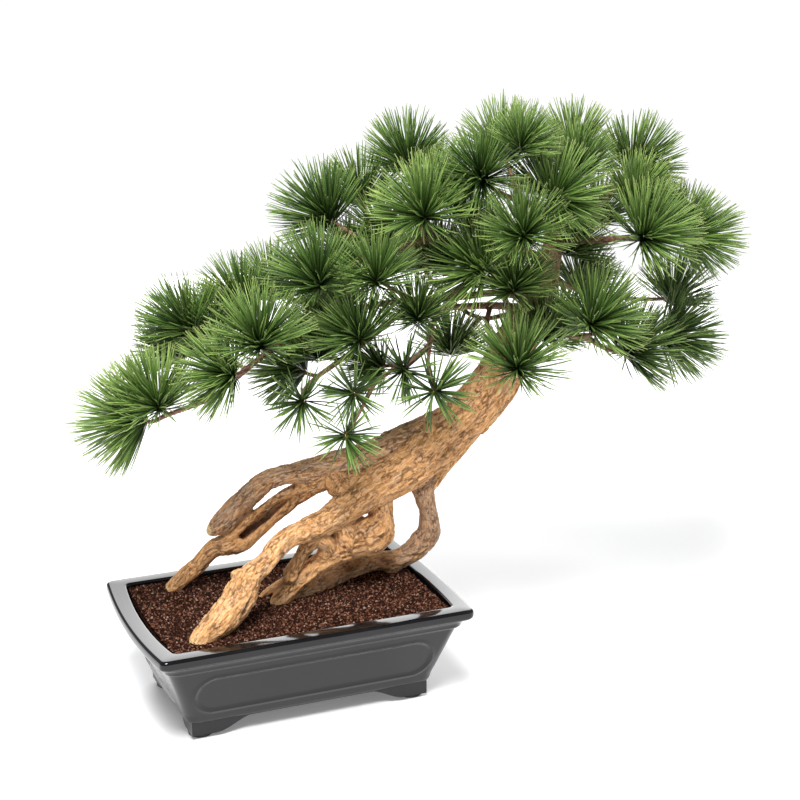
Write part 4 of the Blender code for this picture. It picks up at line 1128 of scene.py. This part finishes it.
strip = add(tree, "ShaderNodeCombineXYZ", {
    axis: add(tree, "GeometryNodeInputNamedAttribute", {"Name": label},
              data_type="FLOAT").outputs[0]
    for axis, label in (("X", "tint"), ("Y", "along"))
})
mapped = add(tree, "GeometryNodeStoreNamedAttribute", {
    "Geometry": real.outputs["Geometry"], "Name": "OFBake", "Value": strip.outputs[0],
}, data_type="FLOAT2", domain="CORNER")
smooth = add(tree, "GeometryNodeSetShadeSmooth", {"Geometry": mapped.outputs["Geometry"]})
axis_turn = add(tree, "FunctionNodeAlignRotationToVector", {"Vector": given["Axis"]}, axis="Z")
moved = add(tree, "GeometryNodeTransform", {
    "Geometry": smooth.outputs["Geometry"], "Translation": given["Foot"],
    "Rotation": axis_turn.outputs[0],
})
dressed = add(tree, "GeometryNodeSetMaterial", {
    "Geometry": moved.outputs["Geometry"], "Material": given["Finish"],
})
tree.links.new(dressed.outputs["Geometry"], result.inputs["Geometry"])
print("needle tree nodes:", len(needle_tree.nodes))

# %% Tufts of the crown
# Each tuft is (foot, direction in which it opens, reach, form).
FAN = "fan"  # needles spread forwards from the twig's end
STAR = "star"  # needles stand out all round
TUFTS = (
    ((-163, 0, 347), (-0.9, 0.3, 0.1), 72, FAN),
    ((-147, -20, 368), (-0.3, -0.2, 0.9), 64, FAN),
    ((-76, -45, 399), (-0.9, -0.1, 0.3), 62, FAN),
    ((-92, 45, 429), (-0.7, 0.2, 0.7), 62, FAN),
    ((-45, -60, 436), (-0.2, -0.3, 0.9), 66, FAN),
    ((22, 10, 380), (-0.9, 0.3, 0.3), 60, FAN),
    ((4, -50, 359), (-0.6, -0.8, -0.1), 46, STAR),
    ((-25, 55, 446), (-0.6, 0.1, 0.8), 62, FAN),
    ((22, 95, 448), (-0.1, 0.1, 1.0), 60, FAN),
    ((40, 0, 400), (-0.2, 0.0, 1.0), 60, FAN),
    ((27, -45, 491), (-0.4, -0.2, 0.9), 66, FAN),
    ((68, -55, 428), (-0.5, -0.2, 0.8), 62, FAN),
    ((61, 20, 545), (-0.6, 0.1, 0.8), 66, FAN),
    ((124, 75, 552), (0.0, 0.0, 1.0), 60, FAN),
    ((140, -65, 558), (-0.4, -0.4, 0.9), 68, FAN),
    ((83, -70, 494), (-0.2, -0.4, 0.9), 58, FAN),
    ((140, -50, 443), (-0.2, -0.4, 0.9), 52, FAN),
    ((203, -70, 493), (-0.9, -0.1, 0.5), 66, FAN),
    ((175, 60, 591), (-0.2, 0.0, 1.0), 62, FAN),
    ((202, -76, 595), (-0.5, -0.6, 0.6), 60, FAN),
    ((273, 17, 604), (0.0, -0.1, 1.0), 64, FAN),
    ((230, -124, 540), (-0.2, -0.6, 0.8), 60, FAN),
    ((235, -91, 476), (-0.2, -0.4, 0.9), 58, FAN),
    ((276, -109, 573), (0.4, -0.7, 0.5), 64, FAN),
    ((375, 41, 597), (0.0, -0.1, 1.0), 60, FAN),
    ((424, -13, 582), (0.3, -0.4, 0.9), 64, FAN),
    ((373, -132, 528), (0.2, -0.7, 0.6), 68, FAN),
    ((492, -7, 500), (0.5, -0.1, 0.8), 60, FAN),
    ((462, -81, 511), (0.8, -0.6, 0.1), 62, FAN),
    ((318, -121, 435), (0.2, -0.6, 0.8), 70, FAN),
    ((383, -92, 389), (0.4, -0.6, 0.6), 66, FAN),
    ((443, -74, 393), (0.9, -0.5, 0.1), 66, FAN),
    ((488, -11, 422), (0.3, -0.1, 0.9), 58, FAN),
    ((232, -112, 392), (-0.1, -0.5, 0.9), 68, FAN),
    ((289, -66, 412), (0.2, -0.3, 0.9), 56, FAN),
    ((55, -75, 370), (-0.3, -0.9, 0.0), 44, STAR),
    ((41, -85, 326), (-0.4, -0.9, -0.3), 44, STAR),
    ((101, -30, 384), (-0.9, -0.1, 0.3), 44, FAN),
    ((120, -60, 388), (-0.3, -0.8, 0.6), 46, STAR),
    ((151, -77, 364), (0.2, -0.8, 0.5), 52, STAR),
    ((218, 125, 460), (0.0, 0.6, 0.8), 60, FAN),
    ((316, 108, 458), (0.2, 0.6, 0.8), 62, FAN),
)
# Twenty more, packed among the others, with the twigs that carry some of them.
INNER_TUFTS = (
    ((-95, 70, 396), (-0.5, 0.2, 0.8), 58, FAN),
    ((219, -1, 536), (0.3, -0.4, 0.9), 50, FAN),
    ((331, 24, 558), (0.0, 0.0, 1.0), 60, FAN),
    ((460, 30, 528), (0.3, 0.0, 0.9), 58, FAN),
    ((392, 8, 522), (0.5, 0.5, 0.7), 56, FAN),
    ((213, 24, 380), (0.0, 0.0, 1.0), 56, FAN),
    ((374, 14, 443), (0.3, 0.1, 0.9), 56, FAN),
    ((117, 110, 427), (-0.2, 0.6, 0.7), 60, FAN),
    ((379, 70, 374), (0.5, 0.6, 0.6), 60, FAN),
    ((236, 107, 549), (0.1, 0.3, 1.0), 60, FAN),
    ((-60, 47, 421), (-0.3, -0.1, 1.0), 60, FAN),
    ((238, -100, 632), (0.2, -0.2, 0.9), 46, FAN),
    ((327, -60, 596), (0.1, -0.1, 1.0), 50, FAN),
    ((91, 27, 491), (-0.4, 0.0, 0.9), 58, FAN),
    ((187, -3, 489), (-0.2, -0.3, 0.9), 54, FAN),
    ((70, 36, 420), (-0.3, -0.1, 0.9), 58, FAN),
    ((390, -80, 559), (0.3, -0.4, 0.9), 56, FAN),
    ((178, -18, 562), (-0.2, 0.0, 1.0), 56, FAN),
    ((128, 20, 520), (-0.5, -0.2, 0.8), 56, FAN),
    ((330, -40, 500), (0.4, -0.2, 0.8), 56, FAN),
)
INNER_TWIGS = (
    ((213, -25, 513, 3), (219, -12, 522, 2.8), (220, -3, 533, 2.5)),
    ((360, -27, 525, 3), (378, -9, 524, 2.8), (389, 2, 523, 2.5)),
    ((333, -28, 454, 3), (354, -9, 448, 2.8), (370, 8, 444, 2.5)),
    ((260, 44, 406, 3), (232, 34, 385, 2.8), (217, 27, 376, 2.5)),
    ((287, 15, 418, 3.5), (331, 42, 388, 3), (372, 65, 371, 2.5)),
    ((83, 66, 436, 3), (100, 90, 430, 2.8), (115, 106, 425, 2.5)),
    ((170, 26, 549, 3), (200, 70, 545, 2.8), (233, 103, 547, 2.5)),
    ((365, 8, 556, 3), (350, 16, 556, 2.8), (333, 23, 556, 2.5)),
    ((413, -48, 509, 3), (440, -6, 516, 2.8), (457, 26, 525, 2.5)),
    ((-63, 32, 405, 3), (-78, 50, 400, 2.8), (-92, 66, 396, 2.5)),
)
NEEDLE_COUNTS = {FAN: 270, STAR: 64}
OPENINGS = {FAN: 76.0, STAR: 140.0}
THICKNESSES = {FAN: 1.0, STAR: 2.0}
REACH_SHARES = {FAN: 1.12, STAR: 1.04}
TIP_LENGTH = 11.0
LIGHTEST_TINT = 0.35
SEED_STEP = 1000  # between one tuft and the next

dice = random.Random(23)
tuft_plan = []
for number, (foot, direction, reach, form) in enumerate(TUFTS + INNER_TUFTS, 1):
    tuft_plan.append((foot, Vector(direction).normalized(), reach * REACH_SHARES[form], form,
                      dice.uniform(0.0, LIGHTEST_TINT), SEED_STEP * number))
print("tufts:", len(tuft_plan))

# %% [markdown]
# ## Finishes
#
# Two effects turn up on several materials, so they are shader node groups: a grit of
# fine specks, and a grain that is stretched along the wood's fibres. The groups give out
# only values. Each material mixes its own colours from them.

# %% Grit and fibre groups
def new_group(name, inputs, outputs):
    group = bpy.data.node_groups.new(name, "ShaderNodeTree")
    for label, kind, value in inputs:
        socket = group.interface.new_socket(label, in_out="INPUT", socket_type="NodeSocket" + kind)
        if value is not None:
            socket.default_value = value
    for label in outputs:
        group.interface.new_socket(label, in_out="OUTPUT", socket_type="NodeSocketFloat")
    return group, group.nodes.new("NodeGroupInput").outputs, \
        group.nodes.new("NodeGroupOutput").inputs


grit, given, out = new_group("grit", (("Vector", "Vector", None), ("Scale", "Float", 900.0)),
                             ("Specks", "Cloud"))
specks = add(grit, "ShaderNodeTexNoise", {
    "Vector": given["Vector"], "Scale": given["Scale"], "Detail": 3.0, "Roughness": 0.7,
})
cloud_scale = add(grit, "ShaderNodeMath", {0: given["Scale"], 1: 0.06}, operation="MULTIPLY")
cloud = add(grit, "ShaderNodeTexNoise", {
    "Vector": given["Vector"], "Scale": cloud_scale.outputs[0], "Detail": 4.0,
})
grit.links.new(specks.outputs[0], out["Specks"])
grit.links.new(cloud.outputs[0], out["Cloud"])

fibre, given, out = new_group("fibre", (
    ("Grain", "Vector", None), ("Along", "Float", 0.05), ("Across", "Float", 0.3),
), ("Streaks", "Flecks", "Patches"))
stretch = add(fibre, "ShaderNodeCombineXYZ", {
    "X": given["Along"], "Y": given["Across"], "Z": given["Across"],
})
laid = add(fibre, "ShaderNodeVectorMath", {0: given["Grain"], 1: stretch.outputs[0]},
           operation="MULTIPLY")
streaks = add(fibre, "ShaderNodeTexNoise", {
    "Vector": laid.outputs[0], "Scale": 1.0, "Detail": 6.0, "Roughness": 0.62,
    "Distortion": 0.6,
})
flecks = add(fibre, "ShaderNodeTexNoise", {
    "Vector": laid.outputs[0], "Scale": 3.4, "Detail": 4.0, "Roughness": 0.7,
    "Distortion": 1.2,
})
patches = add(fibre, "ShaderNodeTexNoise", {
    "Vector": laid.outputs[0], "Scale": 0.32, "Detail": 3.0,
})
for node, label in ((streaks, "Streaks"), (flecks, "Flecks"), (patches, "Patches")):
    fibre.links.new(node.outputs[0], out[label])


def new_finish(name):
    finish = bpy.data.materials.new(name)
    finish.use_nodes = True
    return finish, finish.node_tree, finish.node_tree.nodes["Principled BSDF"]


def place_group(tree, group, inputs):
    return add(tree, "ShaderNodeGroup", inputs, node_tree=group).outputs


def coloured(tree, factor, stops):
    """A ramp of colours, given as (position, (r, g, b)), over a value."""
    node = add(tree, "ShaderNodeValToRGB", {"Fac": factor})
    band = node.color_ramp
    while len(band.elements) < len(stops):
        band.elements.new(0.5)
    for element, (position, colour) in zip(band.elements, stops):
        element.position = position
        element.color = (*colour, 1.0)
    return node.outputs["Color"]


def blended(tree, factor, first, second, blend="MIX"):
    """Two colours mixed by a factor; each is an output or an (r, g, b)."""
    node = add(tree, "ShaderNodeMix", {0: factor}, data_type="RGBA", blend_type=blend)
    for socket, value in ((node.inputs[6], first), (node.inputs[7], second)):
        feed(tree, socket, (*value, 1.0) if isinstance(value, tuple) else value)
    return node.outputs[2]


def spread(tree, value, start, end, low=0.0, high=1.0):
    """The value's range from start to end, turned into low to high."""
    return add(tree, "ShaderNodeMapRange", {
        "Value": value, "From Min": start, "From Max": end, "To Min": low, "To Max": high,
    }).outputs["Result"]


def kept(tree, name, output="Fac"):
    return add(tree, "ShaderNodeAttribute", attribute_name=name).outputs[output]


def raised(tree, shader, height, distance, strength=1.0):
    bump = add(tree, "ShaderNodeBump", {
        "Height": height, "Distance": distance, "Strength": strength,
    })
    tree.links.new(bump.outputs["Normal"], shader.inputs["Normal"])


def gritty_finish(name, scale):
    """A new finish with the grit laid over the piece's own coordinates."""
    finish, tree, shader = new_finish(name)
    where = add(tree, "ShaderNodeTexCoord").outputs["Object"]
    grains = place_group(tree, grit, {"Vector": where, "Scale": scale})
    return finish, tree, shader, grains


print("groups:", grit.name, "and", fibre.name)

# %% Bark of the trunk and roots
bark, tree, shader = new_finish("pine_bark")
fibres = place_group(tree, fibre, {"Grain": kept(tree, "grain", "Vector"),
                                   "Along": 0.17, "Across": 0.46})
tan = coloured(tree, fibres["Streaks"], (
    (0.26, (0.34, 0.150, 0.050)), (0.38, (0.54, 0.265, 0.100)), (0.54, (0.70, 0.380, 0.165)),
    (0.74, (0.84, 0.560, 0.310)),
))
grey = coloured(tree, fibres["Streaks"], (
    (0.26, (0.20, 0.115, 0.070)), (0.40, (0.37, 0.220, 0.135)), (0.58, (0.52, 0.345, 0.220)),
    (0.76, (0.68, 0.510, 0.370)),
))
weather = maths(tree, "ADD", kept(tree, "age"),
                spread(tree, fibres["Patches"], 0.42, 0.68, -0.12, 0.5))
colour = blended(tree, spread(tree, weather, 0.15, 0.95), tan, grey)
edge = maths(tree, "ABSOLUTE", maths(tree, "SUBTRACT", fibres["Flecks"], 0.5), 0.0)
fleck = maths(tree, "MULTIPLY", spread(tree, edge, 0.006, 0.022, 1.0, 0.0),
              spread(tree, fibres["Streaks"], 0.50, 0.43))
fleck = maths(tree, "MULTIPLY", fleck, spread(tree, fibres["Patches"], 0.38, 0.62, 0.25, 1.0))
pits = spread(tree, fibres["Flecks"], 0.71, 0.76)
fleck = maths(tree, "MAXIMUM", fleck, pits)
colour = blended(tree, maths(tree, "MULTIPLY", fleck, 0.66), colour, (0.090, 0.038, 0.020))
split = spread(tree, kept(tree, "crack"), 0.25, 0.9)
colour = blended(tree, maths(tree, "MULTIPLY", split, 0.62), colour, (0.080, 0.034, 0.018))
cut = coloured(tree, fibres["Streaks"], (
    (0.35, (0.52, 0.30, 0.11)), (0.50, (0.80, 0.56, 0.27)), (0.66, (0.90, 0.72, 0.44)),
))
colour = blended(tree, maths(tree, "MULTIPLY", kept(tree, "pale"), 0.9), colour, cut)
# Painted shade: a near-black mixed in where the slits are deep.
colour = blended(tree, maths(tree, "MULTIPLY", kept(tree, "slit_shade"), 0.92), colour,
                 (0.055, 0.016, 0.010))
tree.links.new(colour, shader.inputs["Base Color"])
tree.links.new(spread(tree, fibres["Streaks"], 0.3, 0.7, 0.92, 0.68), shader.inputs["Roughness"])
shader.inputs["Specular IOR Level"].default_value = 0.15
ridges = maths(tree, "SUBTRACT", fibres["Streaks"], maths(tree, "MULTIPLY", fleck, 0.35))
raised(tree, shader, ridges, 0.0018, 1.0)
print("bark nodes:", len(tree.nodes))

# %% Bark of the limbs and twigs
twig_bark, tree, shader = new_finish("twig_bark")
fibres = place_group(tree, fibre, {"Grain": kept(tree, "grain", "Vector"),
                                   "Along": 0.28, "Across": 0.55})
thin = coloured(tree, fibres["Streaks"], (
    (0.32, (0.085, 0.034, 0.022)), (0.50, (0.23, 0.105, 0.066)), (0.68, (0.42, 0.235, 0.155)),
))
thick = coloured(tree, fibres["Streaks"], (
    (0.32, (0.075, 0.040, 0.026)), (0.50, (0.22, 0.130, 0.080)), (0.70, (0.44, 0.300, 0.190)),
))
colour = blended(tree, kept(tree, "thick"), thin, thick)
split = maths(tree, "MULTIPLY", spread(tree, kept(tree, "crack"), 0.3, 0.95), 0.6)
colour = blended(tree, split, colour, (0.045, 0.022, 0.015))
tree.links.new(colour, shader.inputs["Base Color"])
shader.inputs["Roughness"].default_value = 0.62
raised(tree, shader, fibres["Streaks"], 0.0008, 0.8)
print("twig nodes:", len(tree.nodes))

# %% Needles
needle_finish, tree, shader = new_finish("pine_needles")
strip = add(tree, "ShaderNodeUVMap", uv_map="OFBake").outputs[0]
parts = add(tree, "ShaderNodeSeparateXYZ", {0: strip}).outputs
# Along each needle the green is darkest a little above its base and lightens towards its point.
# The dark lower part is painted shade of the tuft's crowded middle. The light point is partly the
# needle's own colour and partly a painted highlight.
deep = coloured(tree, parts["Y"], (
    (0.0, (0.045, 0.036, 0.010)), (0.10, (0.005, 0.014, 0.003)), (0.55, (0.015, 0.044, 0.008)),
    (0.93, (0.050, 0.115, 0.022)), (1.0, (0.160, 0.190, 0.060)),
))
bright = coloured(tree, parts["Y"], (
    (0.0, (0.160, 0.130, 0.030)), (0.10, (0.040, 0.080, 0.013)), (0.55, (0.170, 0.300, 0.058)),
    (0.93, (0.340, 0.470, 0.130)), (1.0, (0.440, 0.460, 0.180)),
))
colour = blended(tree, spread(tree, parts["X"], 0.0, 1.0), deep, bright)
tree.links.new(colour, shader.inputs["Base Color"])
shader.inputs["Roughness"].default_value = 0.38
shader.inputs["Specular IOR Level"].default_value = 0.30
print("needle finish nodes:", len(tree.nodes))

# %% Glaze, soil, rubber and net
glaze, tree, shader, grains = gritty_finish("charcoal_glaze", 420.0)
tree.links.new(coloured(tree, grains["Cloud"], (
    (0.35, (0.002, 0.002, 0.003)), (0.65, (0.004, 0.004, 0.005)),
)), shader.inputs["Base Color"])
tree.links.new(spread(tree, grains["Cloud"], 0.3, 0.7, 0.08, 0.16), shader.inputs["Roughness"])
shader.inputs["IOR"].default_value = 1.42
shader.inputs["Coat Weight"].default_value = 0.06
shader.inputs["Coat Roughness"].default_value = 0.03
raised(tree, shader, grains["Cloud"], 0.0002, 0.12)

granule_finish, tree, shader, grains = gritty_finish("soil_granules", 1500.0)
earth = coloured(tree, kept(tree, "tint"), (
    (0.0, (0.005, 0.001, 0.001)), (0.38, (0.020, 0.006, 0.003)), (0.62, (0.070, 0.024, 0.013)),
    (0.84, (0.170, 0.070, 0.041)), (0.97, (0.300, 0.155, 0.100)), (1.0, (0.450, 0.340, 0.270)),
))
colour = blended(tree, spread(tree, grains["Specks"], 0.3, 0.7, 0.0, 0.5), earth,
                 (0.030, 0.014, 0.009))
tree.links.new(colour, shader.inputs["Base Color"])
shader.inputs["Roughness"].default_value = 0.9
shader.inputs["Specular IOR Level"].default_value = 0.06
raised(tree, shader, grains["Specks"], 0.0006, 0.6)

# The bed shows in the gaps between the granules. Its near-black is partly the dark soil and partly
# painted shade of those gaps.
soil_finish, tree, shader, grains = gritty_finish("soil_bed", 700.0)
tree.links.new(coloured(tree, grains["Specks"], (
    (0.35, (0.005, 0.002, 0.001)), (0.55, (0.016, 0.006, 0.004)), (0.70, (0.050, 0.021, 0.013)),
)), shader.inputs["Base Color"])
shader.inputs["Roughness"].default_value = 0.95
shader.inputs["Specular IOR Level"].default_value = 0.05
raised(tree, shader, grains["Specks"], 0.002, 1.0)

rubber, tree, shader, grains = gritty_finish("pad_rubber", 1200.0)
tree.links.new(coloured(tree, grains["Cloud"], (
    (0.3, (0.012, 0.012, 0.013)), (0.7, (0.022, 0.022, 0.024)),
)), shader.inputs["Base Color"])
shader.inputs["Roughness"].default_value = 0.75
raised(tree, shader, grains["Specks"], 0.0003, 0.4)

net_plastic, tree, shader, grains = gritty_finish("net_plastic", 1600.0)
tree.links.new(coloured(tree, grains["Specks"], (
    (0.3, (0.030, 0.031, 0.032)), (0.7, (0.050, 0.051, 0.053)),
)), shader.inputs["Base Color"])
shader.inputs["Roughness"].default_value = 0.5
print("finishes:", len(bpy.data.materials))

# %% [markdown]
# ## Putting the plant together
#
# Each detailed piece takes the place of its CAD solid. The pads and the drain nets already
# have their real shape, so they only get a better finish, and so does the block of soil,
# which stays under its sheet of granules.

# %% Pot, pads, nets and soil
finished("glazed_pot", pot_skin, glaze, ("pot",))
DRESSED = {"foot_pad": rubber, "drain_net": net_plastic, "soil": soil_finish}
for name, node in nodes.items():
    for start, finish in DRESSED.items():
        if name.startswith(start):
            node.data.materials.clear()
            node.data.materials.append(finish)
for layer, seed, coarseness in LAYERS:
    granules = grown("granules", soil_sheet.copy(), granule_tree, {
        "Count per square metre": GRANULES / (4 * SOIL_HALF_LENGTH * SOIL_HALF_WIDTH * MM * MM),
        "Smallest": GRANULE_SMALL * MM * coarseness,
        "Largest": GRANULE_LARGE * MM, "Seed": seed, "Finish": granule_finish,
    })
    finished("soil_granules_" + layer, granules, granule_finish)
    print(layer, "granule triangles:", triangles(granules))
finished("soil_surface", soil_sheet, soil_finish)

# %% Trunk, limbs and inner twigs
finished("bark_trunk", trunk_skin, bark, ("trunk",))
for name, skin in limb_skins.items():
    finished("bark_" + name, skin, twig_bark, (name,))
twig_routes = [framed(points) for points in INNER_TWIGS]
twigs = fused_skin("inner_twigs", twig_routes, LIMB_VOXEL)
twig_points = points_of(twigs)
twig_grain = grain_at(twig_points, runs_of(twig_routes))
store(twigs, "grain", twig_grain[:, :3])
store(twigs, "crack", np.zeros(len(twig_points)))
store(twigs, "thick", np.zeros(len(twig_points)))
settle(twigs, twig_points)
finished("inner_twigs", twigs, twig_bark)
print("pieces of wood:", len(limb_skins) + 2)

# %% Needle tufts
needle_triangles = 0
for number, (foot, axis, reach, form, tint, seed) in enumerate(tuft_plan, 1):
    tuft = grown("tuft", bpy.data.meshes.new("blank"), needle_tree, {
        "Foot": placed(*foot), "Axis": axis, "Reach": reach * MM,
        "Needles": NEEDLE_COUNTS[form], "Opening": math.radians(OPENINGS[form]),
        "Tip length": TIP_LENGTH * MM, "Thickness": THICKNESSES[form], "Tint": tint,
        "Seed": seed, "Finish": needle_finish,
    })
    replaced = (f"needle_tuft_{number:02d}",) if number <= len(TUFTS) else ()
    finished(f"needles_{number:02d}", tuft, needle_finish, replaced)
    needle_triangles += triangles(tuft)
print("needle triangles:", needle_triangles)
